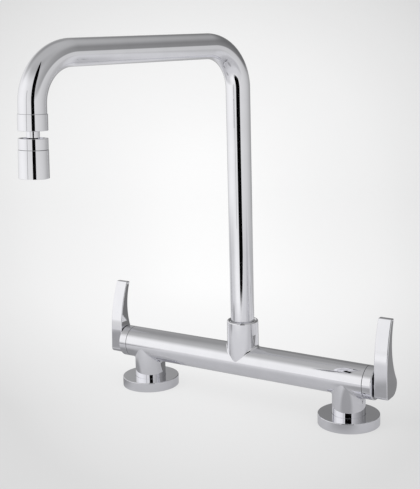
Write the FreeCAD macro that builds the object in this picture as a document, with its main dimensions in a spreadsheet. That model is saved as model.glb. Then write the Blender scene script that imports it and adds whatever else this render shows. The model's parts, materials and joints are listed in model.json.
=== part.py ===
# Two-handle deck mixer for a kitchen sink, built as the bench would find it taken apart.
# A bridge casting stands on two flanged legs, a bent tube spout turns in its boss, a ceramic
# quarter-turn valve with a lever closes each end, and a ball-jointed spray head hangs from the spout.
# Millimetres, +Z up. The origin lies on the deck, midway between the two inlets.
# X runs along the bridge and -Y points to the user.
import FreeCAD, Part
import math
import os
import re
import Sketcher

Vector = FreeCAD.Vector

# Driving sizes: name, value in millimetres or degrees, what it is
SIZES = (
    ("inlet_spacing", 200.0, "between the two inlet axes"),
    ("barrel_overhang", 17.0, "inlet axis to the end of the barrel"),
    ("barrel_dia", 27.6, "outside of the bridge barrel"),
    ("barrel_height", 38.0, "deck to the axis of the barrel"),
    ("leg_step", 0.2, "by how much a leg is slimmer than the barrel"),
    ("leg_blend", 2.2, "fillet where a leg runs into the barrel"),
    ("boss_wall", 2.4, "wall of the spout boss at its rim"),
    ("boss_flare", 0.25, "growth of the boss radius from rim to barrel axis"),
    ("boss_rise", 36.2, "barrel axis to the rim of the boss"),
    ("boss_round", 1.3, "rounding of the rim outside"),
    ("boss_blend", 2.0, "fillet where the boss runs into the barrel"),
    ("rim_chamfer", 0.9, "chamfer of the rim inside"),
    ("inlet_bore", 18.6, "wall of the half-inch inlet thread"),
    ("inlet_depth", 15.0, "depth of the inlet thread"),
    ("waterway_dia", 11.0, "passage up each leg"),
    ("mixing_bore", 13.0, "passage from valve to valve"),
    ("floor_web", 1.5, "metal between the mixing bore and the spout socket"),
    ("flange_dia", 51.0, "outside of a deck flange"),
    ("flange_height", 8.5, "height of a deck flange"),
    ("flange_round", 0.6, "rounding of the flange edges"),
    ("slip_gap", 0.1, "radial gap of a sliding fit"),
    ("grip_section", 1.8, "section of the ring that holds a flange on its leg"),
    ("grip_height", 5.2, "deck to the centre of that ring"),
    ("gasket_width", 7.0, "radial width of a deck gasket"),
    ("gasket_inset", 2.6, "flange edge to the outside of its gasket"),
    ("gasket_thickness", 2.0, "thickness of a deck gasket"),
    ("valve_depth", 33.0, "end of the barrel to the valve seat"),
    ("chamber_bore", 18.6, "valve chamber in the barrel"),
    ("valve_thread", 20.6, "thread of a headwork in the barrel"),
    ("valve_thread_length", 10.5, "length of that thread"),
    ("face_ring_section", 1.5, "section of the ring under the headwork hexagon"),
    ("headwork_dia", 17.8, "shell of a headwork inside the chamber"),
    ("headwork_wall", 1.3, "wall of that shell"),
    ("neck_step", 4.0, "inner end of the thread to the neck of a headwork"),
    ("hexagon_across", 17.0, "headwork hexagon across its flats"),
    ("hexagon_length", 3.2, "length of the hexagon"),
    ("window_width", 7.0, "water window in the shell of a headwork"),
    ("window_length", 7.0, "the same along the barrel"),
    ("window_inset", 0.6, "window to the floor of the neck"),
    ("seat_seal_length", 2.5, "seal between headwork and seat"),
    ("seat_lip", 1.4, "radial width of the seal"),
    ("disc_thickness", 3.0, "each of the two ceramic discs"),
    ("disc_port", 4.4, "water port in a disc"),
    ("disc_port_circle", 7.4, "circle on which the two ports of a disc lie"),
    ("disc_gap", 0.05, "water film between the discs"),
    ("spindle_dia", 9.0, "spindle in the headwork neck"),
    ("spindle_neck", 0.5, "by how much the radius is less above the driver"),
    ("driver_length", 1.9, "driver plate of a spindle"),
    ("driver_key_width", 4.0, "key that turns the moving disc"),
    ("driver_key_depth", 1.0, "how far the key reaches into the disc"),
    ("key_inset", 1.6, "shell of the headwork to each end of the key"),
    ("driver_slack", 0.5, "shell of the headwork to the driver plate"),
    ("collar_width", 2.3, "thrust collar of a spindle"),
    ("seal_section", 1.1, "section of the spindle rings"),
    ("seal_pitch", 3.4, "between the two spindle rings"),
    ("ring_slack", 0.06, "by how much a rubber ring is thinner than its groove"),
    ("spline_dia", 8.0, "toothed end of a spindle in its lever"),
    ("spline_depth", 0.5, "depth of the teeth"),
    ("spline_teeth", 20.0, "number of teeth"),
    ("spline_gap", 0.72, "width of the gap between two teeth"),
    ("spline_reach", 12.2, "end of the spindle from the end of the barrel, less the hexagon"),
    ("clip_thickness", 0.8, "spring clip that keeps a spindle in"),
    ("clip_dia", 12.4, "outside of that clip"),
    ("clip_groove", 0.7, "depth of its groove in the spindle"),
    ("clip_mouth", 4.0, "open side of the clip"),
    ("clip_margin", 1.0, "clip to the first of the teeth"),
    ("seam_gap", 0.35, "seam between barrel and lever hub"),
    ("hub_length", 7.6, "lever hub along the barrel"),
    ("hub_bevel", 0.6, "bevel on the outer edge of the hub"),
    ("hub_wall", 2.0, "wall of the hollow hub"),
    ("hub_web", 2.6, "closed end of the hub"),
    ("neck_length", 0.7, "groove between hub and lever"),
    ("neck_radius", 7.6, "metal left at that groove"),
    ("lever_width", 11.6, "lever along the barrel"),
    ("lever_front", 8.8, "front face ahead of the barrel axis"),
    ("lever_straight", 10.0, "height above the axis at which the front starts to curve"),
    ("lever_rise", 54.7, "height of the tip above the axis"),
    ("lever_sweep", 9.1, "by how much the tip leans back from the front face"),
    ("lever_tip", 4.7, "thickness of the tip"),
    ("lever_hollow", 58.0, "radius of the hollow back"),
    ("heel_back", 11.3, "heel behind the barrel axis"),
    ("heel_drop", 10.5, "heel below the barrel axis"),
    ("heel_radius", 9.2, "radius of the heel"),
    ("toe_radius", 3.6, "lower front corner"),
    ("lever_edge", 0.8, "rounding of the lever edges"),
    ("grub_dia", 5.0, "screw that locks a lever on its spindle"),
    ("grub_length", 6.0, "length of that screw"),
    ("grub_place", 3.5, "inner face of the lever to that screw"),
    ("grub_seat", 0.02, "spline to the point of that screw"),
    ("spline_end_room", 0.5, "end of the spindle to the floor of its socket"),
    ("left_lever_lean", -2.9, "left lever at rest, positive towards the user"),
    ("right_lever_lean", 1.5, "right lever at rest, positive towards the user"),
    ("arm_height", 305.4, "deck to the axis of the spout arm"),
    ("reach", 204.2, "riser axis to outlet axis"),
    ("bend_radius", 35.0, "both bends, on the centre line"),
    ("tube_dia", 20.0, "outside of the spout tube"),
    ("tube_wall", 1.0, "wall of the spout tube"),
    ("outlet_straight", 6.5, "straight tube below the second bend"),
    ("outlet_splay", 2.4, "outward lean of the outlet, from upright"),
    ("spout_swing", -12.0, "arm at rest, from straight towards the user"),
    ("run_gap", 0.06, "radial gap of a turning fit"),
    ("glide_wall", 1.0, "wall of the glide ring round the tube"),
    ("glide_length", 8.4, "length of the glide ring"),
    ("glide_recess", 1.6, "rim of the boss to the glide ring"),
    ("tail_clear", 0.7, "glide ring to the shoulder of the tail"),
    ("tail_bore", 14.6, "water passage in the tail"),
    ("spigot_length", 10.0, "tail inside the tube"),
    ("thrust_thickness", 0.6, "washer under the tail"),
    ("tail_ring_section", 1.8, "section of the two tail rings"),
    ("tail_ring_pitch", 3.6, "between the two tail rings"),
    ("tail_ring_start", 2.34, "end of the tail to the first ring"),
    ("keep_groove_width", 3.0, "groove that the keeper screw runs in"),
    ("keep_groove_depth", 2.2, "depth of that groove"),
    ("keeper_dia", 4.0, "keeper screw behind the boss"),
    ("keeper_tip_dia", 2.3, "dog point of the keeper screw"),
    ("keeper_tip_length", 1.7, "how far the dog point stands into the groove"),
    ("keeper_sunk", 0.2, "boss to the head of the keeper screw"),
    ("nipple_bore", 12.0, "water passage of the outlet nipple"),
    ("nipple_grip", 4.2, "nipple inside the tube"),
    ("nipple_drop", 5.6, "nipple below the tube"),
    ("thread_relief", 0.25, "radius of the nipple thread below the tube bore"),
    ("collar_washer_bore", 10.0, "hole in the washer under the nipple"),
    ("collar_dia", 21.0, "swivel collar"),
    ("collar_length", 11.4, "length of the swivel collar"),
    ("collar_floor", 2.7, "inner floor of the collar"),
    ("collar_edge", 0.35, "broken edges of the turned spray parts"),
    ("stem_flange_dia", 15.0, "flange of the swivel stem"),
    ("stem_flange_height", 1.5, "height of that flange"),
    ("neck_dia", 9.3, "visible neck of the stem"),
    ("stem_bore", 5.6, "water passage of the stem"),
    ("ball_dia", 14.0, "ball of the stem"),
    ("ball_drop", 12.0, "collar to the centre of the ball"),
    ("ball_flat", 6.2, "centre of the ball to the flat below it"),
    ("neck_gap", 5.1, "visible neck between collar and ring nut"),
    ("nut_dia", 20.8, "ring nut"),
    ("nut_height", 7.9, "height of the ring nut"),
    ("nut_mouth", 18.8, "wide end of the cone in the ring nut"),
    ("nut_lip", 12.6, "narrow end, which holds the ball"),
    ("nut_cone", 3.2, "depth of the cone"),
    ("nut_hold", 0.9, "centre of the ball to the start of the inner cone"),
    ("nut_skirt_dia", 18.4, "thread of the ring nut"),
    ("nut_skirt", 4.8, "length of that thread"),
    ("ball_gap", 0.15, "gap round the ball"),
    ("cup_start", 3.3, "centre of the ball to the top of the cup"),
    ("cup_height", 4.5, "height of the cup below the ball"),
    ("cup_lip", 0.65, "wall of the cup at its top"),
    ("cup_cone", 3.1, "depth of the cone in the cup"),
    ("cup_bore", 8.4, "hole through the cup"),
    ("cup_seal_height", 1.5, "ring under the cup"),
    ("sleeve_dia", 21.2, "spray sleeve at its top"),
    ("sleeve_flare", 0.15, "growth of its radius to the bottom"),
    ("sleeve_length", 19.8, "length of the spray sleeve"),
    ("sleeve_web", 1.5, "web that carries the cup"),
    ("sleeve_web_bore", 9.0, "hole in that web"),
    ("insert_dia", 18.6, "aerator insert"),
    ("insert_recess", 0.7, "end of the sleeve to the insert"),
    ("insert_wall", 1.3, "wall of the insert"),
    ("insert_seal", 1.0, "ring above the insert"),
    ("diffuser_thickness", 1.6, "perforated plate"),
    ("diffuser_holes", 12.0, "holes of the plate"),
    ("diffuser_hole_dia", 1.2, "each hole of the plate"),
    ("diffuser_circle", 11.0, "circle of those holes"),
    ("screen_thickness", 0.35, "each of the two screens"),
    ("screen_pitch", 1.5, "between the screens"),
    ("lattice_height", 1.8, "lattice at the mouth of the insert"),
    ("jet_dia", 1.9, "each hole of the lattice"),
    ("jet_pitch", 2.75, "from ring to ring of those holes"),
)
VALUE = {name: value for name, value, meaning in SIZES}
PARTS = "parts"

document = FreeCAD.newDocument("kitchen_mixer")
sheet = document.addObject("Spreadsheet::Sheet", "Sizes")
for row, (name, value, meaning) in enumerate(SIZES, start=1):
    sheet.set("A%d" % row, name)
    sheet.set("B%d" % row, str(value))
    sheet.set("C%d" % row, meaning)
    sheet.setAlias("B%d" % row, name)
document.recompute()


def bound(expression):
    """The same expression with each size looked up in the sheet."""
    def cell(found):
        word = found.group(0)
        return "Sizes." + word if word in VALUE else word
    return re.sub(r"[a-z_]+", cell, expression)


def minus(*terms):
    return "(" + " - ".join(terms) + ")"


def plus(*terms):
    return "(" + " + ".join(terms) + ")"


def new_body(label):
    body = document.addObject("PartDesign::Body", label)
    body.Label = label
    return body


def new_sketch(body, name, role, offset=None):
    """An empty sketch on one of the body's own planes, moved along its normal if asked."""
    sketch = body.newObject("Sketcher::SketchObject", name)
    plane = [feature for feature in body.Origin.OriginFeatures if feature.Role == role][0]
    sketch.AttachmentSupport = [(plane, "")]
    sketch.MapMode = "FlatFace"
    if offset:
        sketch.setExpression("AttachmentOffset.Base.z", bound(offset))
    return sketch


def constrain(sketch, kind, *references, to):
    """One constraint whose size is an expression of the sheet; it starts from the drawn size."""
    if kind in ("Radius", "Diameter"):
        drawn = sketch.Geometry[references[0]].Radius * (2 if kind == "Diameter" else 1)
    else:
        point = sketch.getPoint(*references[-2:])
        drawn = point.x if kind == "DistanceX" else point.y
    index = sketch.addConstraint(Sketcher.Constraint(kind, *references, drawn))
    sketch.setExpression("Constraints[%d]" % index, bound(to))


def place_point(sketch, edge, end, x, y):
    """Ties one end of an edge to a place measured from the sketch's origin."""
    for kind, axis, value in (("DistanceX", -2, x), ("DistanceY", -1, y)):
        if value == "0":
            sketch.addConstraint(Sketcher.Constraint("PointOnObject", edge, end, axis))
        else:
            constrain(sketch, kind, -1, 1, edge, end, to=value)


def polygon(body, name, role, corners, offset=None):
    """A closed outline of straight edges through the corners."""
    sketch = new_sketch(body, name, role, offset)
    count = len(corners)
    turn = [2 * math.pi * index / count for index in range(count + 1)]
    ring = [Vector(10 * math.cos(angle), 10 * math.sin(angle), 0) for angle in turn]
    for index in range(count):
        sketch.addGeometry(Part.LineSegment(ring[index], ring[index + 1]), False)
    for index in range(count):
        sketch.addConstraint(Sketcher.Constraint("Coincident", index, 2, (index + 1) % count, 1))
        place_point(sketch, index, 1, corners[index][0], corners[index][1])
    return sketch


def circles(body, name, role, rounds, offset=None):
    """Circles, each given by its centre and diameter."""
    sketch = new_sketch(body, name, role, offset)
    for index, (x, y, diameter) in enumerate(rounds):
        sketch.addGeometry(Part.Circle(Vector(20 * index, 1, 0), Vector(0, 0, 1), 5), False)
        place_point(sketch, index, 3, x, y)
        constrain(sketch, "Diameter", index, to=diameter)
    return sketch


def extrude(body, kind, name, sketch, length, reverse=False, middle=False):
    """A Pad or a Pocket."""
    feature = body.newObject("PartDesign::" + kind, name)
    feature.Profile = sketch
    feature.setExpression("Length", bound(length))
    feature.Reversed = reverse
    if middle:
        feature.SideType = "Symmetric"
    document.recompute()
    return feature


def spin(body, kind, name, sketch, axis):
    """A Revolution or a Groove of one full turn about the sketch's own H or V axis."""
    feature = body.newObject("PartDesign::" + kind, name)
    feature.Profile = sketch
    feature.ReferenceAxis = (sketch, [axis + "_Axis"])
    feature.Angle = 360
    document.recompute()
    return feature


def blend(body, name, feature, picked, radius, kind="Fillet"):
    """Rounds or bevels the edges that the test picks."""
    edges = ["Edge%d" % number for number, edge in enumerate(feature.Shape.Edges, 1) if picked(edge)]
    if not edges:
        raise ValueError("no edge for %s of %s" % (name, body.Label))
    dressing = body.newObject("PartDesign::" + kind, name)
    dressing.Base = (feature, edges)
    dressing.setExpression("Radius" if kind == "Fillet" else "Size", bound(radius))
    document.recompute()
    return dressing


def samples(edge, count=9):
    """Points spread along an edge."""
    first, last = edge.ParameterRange
    return [edge.valueAt(first + (last - first) * step / (count - 1)) for step in range(count)]


def turned(label, corners, axis="Z", side=1, body=None, kind="Revolution", name="turned"):
    """A turned shape from (radius, height) corners, along Z or along the barrel.

    A third entry rounds that corner. On the barrel, heights are measured from the
    middle of the bridge towards one of its ends, which the side gives as 1 or -1.
    """
    body = body or new_body(label)
    along = [corner[1] if side == 1 or corner[1] == "0" else "-" + corner[1] for corner in corners]
    if axis == "Z":
        places = [(corner[0], height) for corner, height in zip(corners, along)]
        sketch = polygon(body, name + "_outline", "XZ_Plane", places)
        feature = spin(body, kind, name, sketch, "V")
    else:
        places = [(height, corner[0]) for corner, height in zip(corners, along)]
        sketch = polygon(body, name + "_outline", "XZ_Plane", places)
        feature = spin(body, kind, name, sketch, "H")
    marked = {}
    for index, corner in enumerate(corners):
        if len(corner) == 3:
            point = sketch.getPoint(index, 1)
            marked.setdefault(corner[2], []).append((point.x, point.y))
    for number, (radius, points) in enumerate(marked.items(), 1):
        def at_corner(edge):
            if not isinstance(edge.Curve, Part.Circle):
                return False
            centre = edge.Curve.Center
            height = centre.z if axis == "Z" else centre.x
            found = (edge.Curve.Radius, height) if axis == "Z" else (height, edge.Curve.Radius)
            return any(math.dist(found, point) < 1e-4 for point in points)
        feature = blend(body, "%s_round_%d" % (name, number), feature, at_corner, radius)
    return body


def ring_section(label, places, section, axis="Z", side=1):
    """Rubber rings of round section, one for each (radius, height) of a section's centre."""
    body = new_body(label)
    feature = None
    for number, (radius, height) in enumerate(places, 1):
        height = height if side == 1 else "-" + height
        centre = (radius, height) if axis == "Z" else (height, radius)
        sketch = circles(body, "section_%d" % number, "XZ_Plane", [centre + (section,)])
        feature = spin(body, "Revolution", "ring_%d" % number, sketch, "V" if axis == "Z" else "H")
    return body


def repeat_round(body, feature, name, count, axis_role):
    """The feature again and again round one of the body's axes."""
    axis = [item for item in body.Origin.OriginFeatures if item.Role == axis_role][0]
    pattern = body.newObject("PartDesign::PolarPattern", name)
    pattern.Originals = [feature]
    pattern.Axis = (axis, [""])
    pattern.Angle = 360
    pattern.setExpression("Occurrences", bound(count))
    body.Tip = pattern
    document.recompute()
    return pattern


def hexagon_outline(body, name, role, across, offset, x="0"):
    """A hexagon of that size across its flats, centred x along the sketch."""
    half = "(%s) / 2" % across
    step = half + " * tan(30)"
    tip = half + " / cos(30)"
    middle = "" if x == "0" else x + " + "
    at_middle = "0" if x == "0" else x
    corners = [(middle + half, step), (at_middle, tip), (middle + "-1 * " + half, step),
               (middle + "-1 * " + half, "-" + step), (at_middle, "-" + tip), (middle + half, "-" + step)]
    return polygon(body, name, role, corners, offset)


# Heights and places that several pieces share
BARREL_END = "(inlet_spacing / 2 + barrel_overhang)"
BARREL_RADIUS = "(barrel_dia / 2)"
LEG_RADIUS = "((barrel_dia - leg_step) / 2)"
SOCKET_RADIUS = "(tube_dia / 2 + glide_wall)"
BOSS_RADIUS = "(tube_dia / 2 + glide_wall + boss_wall)"
BOSS_RIM = "(barrel_height + boss_rise)"
SOCKET_FLOOR = "(barrel_height + mixing_bore / 2 + floor_web)"
GLIDE_TOP = minus(BOSS_RIM, "glide_recess")
GLIDE_BOTTOM = minus(GLIDE_TOP, "glide_length")
TAIL_TOP = minus(GLIDE_BOTTOM, "tail_clear")
TAIL_BOTTOM = plus(SOCKET_FLOOR, "thrust_thickness")
KEEP_HEIGHT = minus(TAIL_TOP, "keep_groove_width")
TAIL_RADIUS = minus(SOCKET_RADIUS, "run_gap")
BEND_HEIGHT = "(arm_height - bend_radius)"
OUTLET = minus(BEND_HEIGHT, "outlet_straight")
COLLAR_BOTTOM = minus(OUTLET, "collar_length")
STEM_BOTTOM = plus(COLLAR_BOTTOM, "collar_floor", "run_gap")
STEM_TOP = plus(STEM_BOTTOM, "stem_flange_height")
NIPPLE_BOTTOM = minus(OUTLET, "nipple_drop")
BALL = minus(COLLAR_BOTTOM, "ball_drop")
NUT_TOP = minus(COLLAR_BOTTOM, "neck_gap")
NUT_BOTTOM = minus(NUT_TOP, "nut_height")
CUP_TOP = minus(BALL, "cup_start")
CUP_BOTTOM = minus(CUP_TOP, "cup_height")
WEB_TOP = minus(CUP_BOTTOM, "cup_seal_height")
WEB_BOTTOM = minus(WEB_TOP, "sleeve_web")
SLEEVE_BOTTOM = minus(NUT_BOTTOM, "sleeve_length")
INSERT_TOP = minus(WEB_BOTTOM, "insert_seal")
INSERT_BOTTOM = plus(SLEEVE_BOTTOM, "insert_recess")
INSERT_BORE = "(insert_dia / 2 - slip_gap - insert_wall)"
HEXAGON_END = plus(BARREL_END, "hexagon_length")
SEAT = minus(BARREL_END, "valve_depth")
FIXED_DISC = plus(SEAT, "seat_seal_length")
MOVING_DISC = plus(FIXED_DISC, "disc_thickness", "disc_gap")
DRIVER = plus(MOVING_DISC, "disc_thickness", "disc_gap")
NECK_START = minus(BARREL_END, "valve_thread_length", "neck_step")
SHELL_BORE = "(headwork_dia / 2 - headwork_wall)"
SPINDLE_RADIUS = "(spindle_dia / 2)"
HUB_START = plus(BARREL_END, "seam_gap")
HUB_END = plus(HUB_START, "hub_length")
LEVER_START = plus(HUB_END, "neck_length")
LEVER_END = plus(LEVER_START, "lever_width")
CUP_FLOOR = minus(HUB_END, "hub_web")
SPINDLE_END = plus(HEXAGON_END, "spline_reach")
FIRST_SEAL = plus(NECK_START, "seal_pitch / 2")
LEGS = (("left", -1), ("right", 1))


def signed(expression, side):
    return expression if side == 1 else "-" + expression


def bridge_body():
    """Barrel, legs and spout boss in one casting, bored from both ends, from above and below."""
    body = new_body("bridge_body")
    turned(None, [("0", "-" + BARREL_END), (BARREL_RADIUS, "-" + BARREL_END),
                  (BARREL_RADIUS, BARREL_END), ("0", BARREL_END)], "X", 1, body, name="barrel")
    body.Placement = FreeCAD.Placement(Vector(0, 0, VALUE["barrel_height"]), FreeCAD.Rotation())
    body.setExpression("Placement.Base.z", bound("barrel_height"))
    leg_rounds = [(signed("inlet_spacing / 2", side), "0", "2 * " + LEG_RADIUS) for name, side in LEGS]
    legs = extrude(body, "Pad", "legs", circles(body, "leg_rounds", "XY_Plane", leg_rounds),
                   "barrel_height", reverse=True)
    barrel_radius = VALUE["barrel_dia"] / 2
    leg_radius = barrel_radius - VALUE["leg_step"] / 2
    half = VALUE["inlet_spacing"] / 2

    def on_barrel(point):
        return abs(math.hypot(point.y, point.z) - barrel_radius) < 1e-3

    def at_leg(edge):
        return all(on_barrel(point) and point.z < 0
                   and abs(math.hypot(abs(point.x) - half, point.y) - leg_radius) < 1e-3
                   for point in samples(edge))

    blend(body, "leg_blends", legs, at_leg, "leg_blend")
    turned(None, [("0", "0"), (plus(BOSS_RADIUS, "boss_flare"), "0"),
                  (BOSS_RADIUS, "boss_rise", "boss_round"), ("0", "boss_rise")], body=body, name="boss")
    boss_reach = VALUE["tube_dia"] / 2 + VALUE["glide_wall"] + VALUE["boss_wall"] + VALUE["boss_flare"]

    def at_boss(edge):
        return all(on_barrel(point) and 0 < point.z
                   and abs(math.hypot(point.x, point.y) - boss_reach) < VALUE["boss_flare"] + 0.01
                   for point in samples(edge))

    blend(body, "boss_blends", body.Tip, at_boss, "boss_blend")
    turned(None, [("0", minus(SOCKET_FLOOR, "barrel_height")),
                  (SOCKET_RADIUS, minus(SOCKET_FLOOR, "barrel_height")),
                  (SOCKET_RADIUS, "(boss_rise - rim_chamfer)"),
                  (plus(SOCKET_RADIUS, "rim_chamfer"), "boss_rise"), ("0", "boss_rise")],
           body=body, kind="Groove", name="socket")
    turned(None, [("0", "0"), ("(mixing_bore / 2)", "0"),
                  ("(mixing_bore / 2)", minus(SOCKET_FLOOR, "barrel_height")),
                  ("0", minus(SOCKET_FLOOR, "barrel_height"))], body=body, kind="Groove", name="throat")
    turned(None, [("0", "-" + BARREL_END), ("(mixing_bore / 2)", "-" + BARREL_END),
                  ("(mixing_bore / 2)", BARREL_END), ("0", BARREL_END)],
           "X", 1, body, "Groove", "mixing_passage")
    for name, side in LEGS:
        thread_end = minus(BARREL_END, "valve_thread_length")
        ring_floor = minus(BARREL_END, "face_ring_section")
        turned(None, [("0", minus(BARREL_END, "valve_depth")),
                      ("(chamber_bore / 2)", minus(BARREL_END, "valve_depth")),
                      ("(chamber_bore / 2)", thread_end), ("(valve_thread / 2)", thread_end),
                      ("(valve_thread / 2)", ring_floor),
                      ("(valve_thread / 2 + face_ring_section)", ring_floor),
                      ("(valve_thread / 2 + face_ring_section)", BARREL_END), ("0", BARREL_END)],
               "X", side, body, "Groove", name + "_valve_bore")
        centre = signed("inlet_spacing / 2", side)
        passage = circles(body, name + "_passage_round", "XY_Plane", [(centre, "0", "waterway_dia")])
        extrude(body, "Pocket", name + "_passage", passage, "barrel_height")
        inlet = circles(body, name + "_inlet_round", "XY_Plane", [(centre, "0", "inlet_bore")],
                        "-barrel_height")
        extrude(body, "Pocket", name + "_inlet", inlet, "inlet_depth", reverse=True)
    keeper = circles(body, "keeper_round", "XZ_Plane",
                     [("0", minus(KEEP_HEIGHT, "barrel_height"), "keeper_dia")])
    extrude(body, "Pocket", "keeper_hole", keeper, BOSS_RADIUS + " + boss_wall")
    return body


def deck_flanges():
    """The two flanges, each with its ring on the leg and its gasket on the deck."""
    bore = plus(LEG_RADIUS, "slip_gap")
    groove = plus(LEG_RADIUS, "grip_section")
    gasket_outer = minus("(flange_dia / 2)", "gasket_inset")
    gasket_inner = minus(gasket_outer, "gasket_width")
    for name, side in LEGS:
        flange = turned(name + "_flange", [
            (bore, "0"), (gasket_inner, "0"), (gasket_inner, "gasket_thickness"),
            (gasket_outer, "gasket_thickness"), (gasket_outer, "0"), ("(flange_dia / 2)", "0"),
            ("(flange_dia / 2)", "flange_height", "flange_round"), (bore, "flange_height"),
            (bore, "(grip_height + grip_section / 2)"), (groove, "(grip_height + grip_section / 2)"),
            (groove, "(grip_height - grip_section / 2)"), (bore, "(grip_height - grip_section / 2)")])
        ring = ring_section(name + "_flange_ring",
                            [(plus(LEG_RADIUS, "grip_section / 2"), "grip_height")],
                            "grip_section - ring_slack")
        gasket = turned(name + "_deck_gasket", [
            (gasket_inner, "0"), (gasket_outer, "0"),
            (gasket_outer, "gasket_thickness"), (gasket_inner, "gasket_thickness")])
        for piece in (flange, ring, gasket):
            piece.setExpression("Placement.Base.x", bound(signed("inlet_spacing / 2", side)))


def on_barrel_axis(body, lean=None):
    """Lifts a piece that was drawn on the X axis to the barrel, turned by the lever's lean."""
    turn = VALUE[lean] if lean else 0.0
    body.Placement = FreeCAD.Placement(Vector(0, 0, VALUE["barrel_height"]),
                                       FreeCAD.Rotation(Vector(1, 0, 0), turn))
    body.setExpression("Placement.Base.z", bound("barrel_height"))
    if lean:
        body.setExpression("Placement.Rotation.Angle", bound(lean))


def headwork(name, side):
    """Shell, thread and hexagon of a quarter-turn valve, with its rings and its fixed disc."""
    body = turned(name + "_headwork", [
        (SPINDLE_RADIUS + " + run_gap", HEXAGON_END), ("(hexagon_across / 2)", HEXAGON_END),
        ("(hexagon_across / 2)", BARREL_END), ("(valve_thread / 2)", BARREL_END),
        ("(valve_thread / 2)", minus(BARREL_END, "valve_thread_length")),
        ("(headwork_dia / 2)", minus(BARREL_END, "valve_thread_length")),
        ("(headwork_dia / 2)", FIXED_DISC), (SHELL_BORE, FIXED_DISC),
        (SHELL_BORE, NECK_START), (SPINDLE_RADIUS + " + run_gap", NECK_START)], "X", side)
    hexagon = hexagon_outline(body, "hexagon_outline", "YZ_Plane", "hexagon_across",
                              signed(BARREL_END, side))
    extrude(body, "Pad", "hexagon", hexagon, "hexagon_length", reverse=side < 0)
    turned(None, [("0", BARREL_END), (SPINDLE_RADIUS + " + run_gap", BARREL_END),
                  (SPINDLE_RADIUS + " + run_gap", HEXAGON_END), ("0", HEXAGON_END)],
           "X", side, body, "Groove", "spindle_hole")
    low = signed(minus(NECK_START, "window_length", "window_inset"), side)
    high = signed(minus(NECK_START, "window_inset"), side)
    window = polygon(body, "window_outline", "XY_Plane", [
        (low, "-window_width / 2"), (high, "-window_width / 2"),
        (high, "window_width / 2"), (low, "window_width / 2")])
    extrude(body, "Pocket", "windows", window, "2 * headwork_dia", middle=True)
    on_barrel_axis(body)

    ring = turned(name + "_face_ring", [
        ("(valve_thread / 2)", BARREL_END), ("(valve_thread / 2 + face_ring_section)", BARREL_END),
        ("(valve_thread / 2 + face_ring_section)", minus(BARREL_END, "face_ring_section")),
        ("(valve_thread / 2)", minus(BARREL_END, "face_ring_section"))], "X", side)
    on_barrel_axis(ring)
    seal = turned(name + "_seat_seal", [
        ("(headwork_dia / 2 - seat_lip)", SEAT), ("(headwork_dia / 2)", SEAT),
        ("(headwork_dia / 2)", FIXED_DISC), ("(headwork_dia / 2 - seat_lip)", FIXED_DISC)], "X", side)
    on_barrel_axis(seal)
    on_barrel_axis(ported_disc(name + "_fixed_disc", FIXED_DISC, side, "0"))


def ported_disc(label, start, side, clearance):
    """A ceramic disc with two ports, facing its twin across a film of water."""
    body = turned(label, [("0", start), (minus(SHELL_BORE, clearance), start),
                          (minus(SHELL_BORE, clearance), plus(start, "disc_thickness")),
                          ("0", plus(start, "disc_thickness"))], "X", side)
    ports = circles(body, "port_rounds", "YZ_Plane", [
        ("0", "disc_port_circle / 2", "disc_port"), ("0", "-disc_port_circle / 2", "disc_port")],
        signed(start, side))
    extrude(body, "Pocket", "ports", ports, "disc_thickness", reverse=side > 0)
    return body


def key_outline(body, name, width, start, side):
    """A bar across the axis, as wide as the driver's key."""
    half = "(%s) / 2" % width
    reach = minus(SHELL_BORE, "key_inset")
    return polygon(body, name, "YZ_Plane", [
        ("-" + reach, "-" + half), (reach, "-" + half), (reach, half), ("-" + reach, half)],
        signed(start, side))


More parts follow.
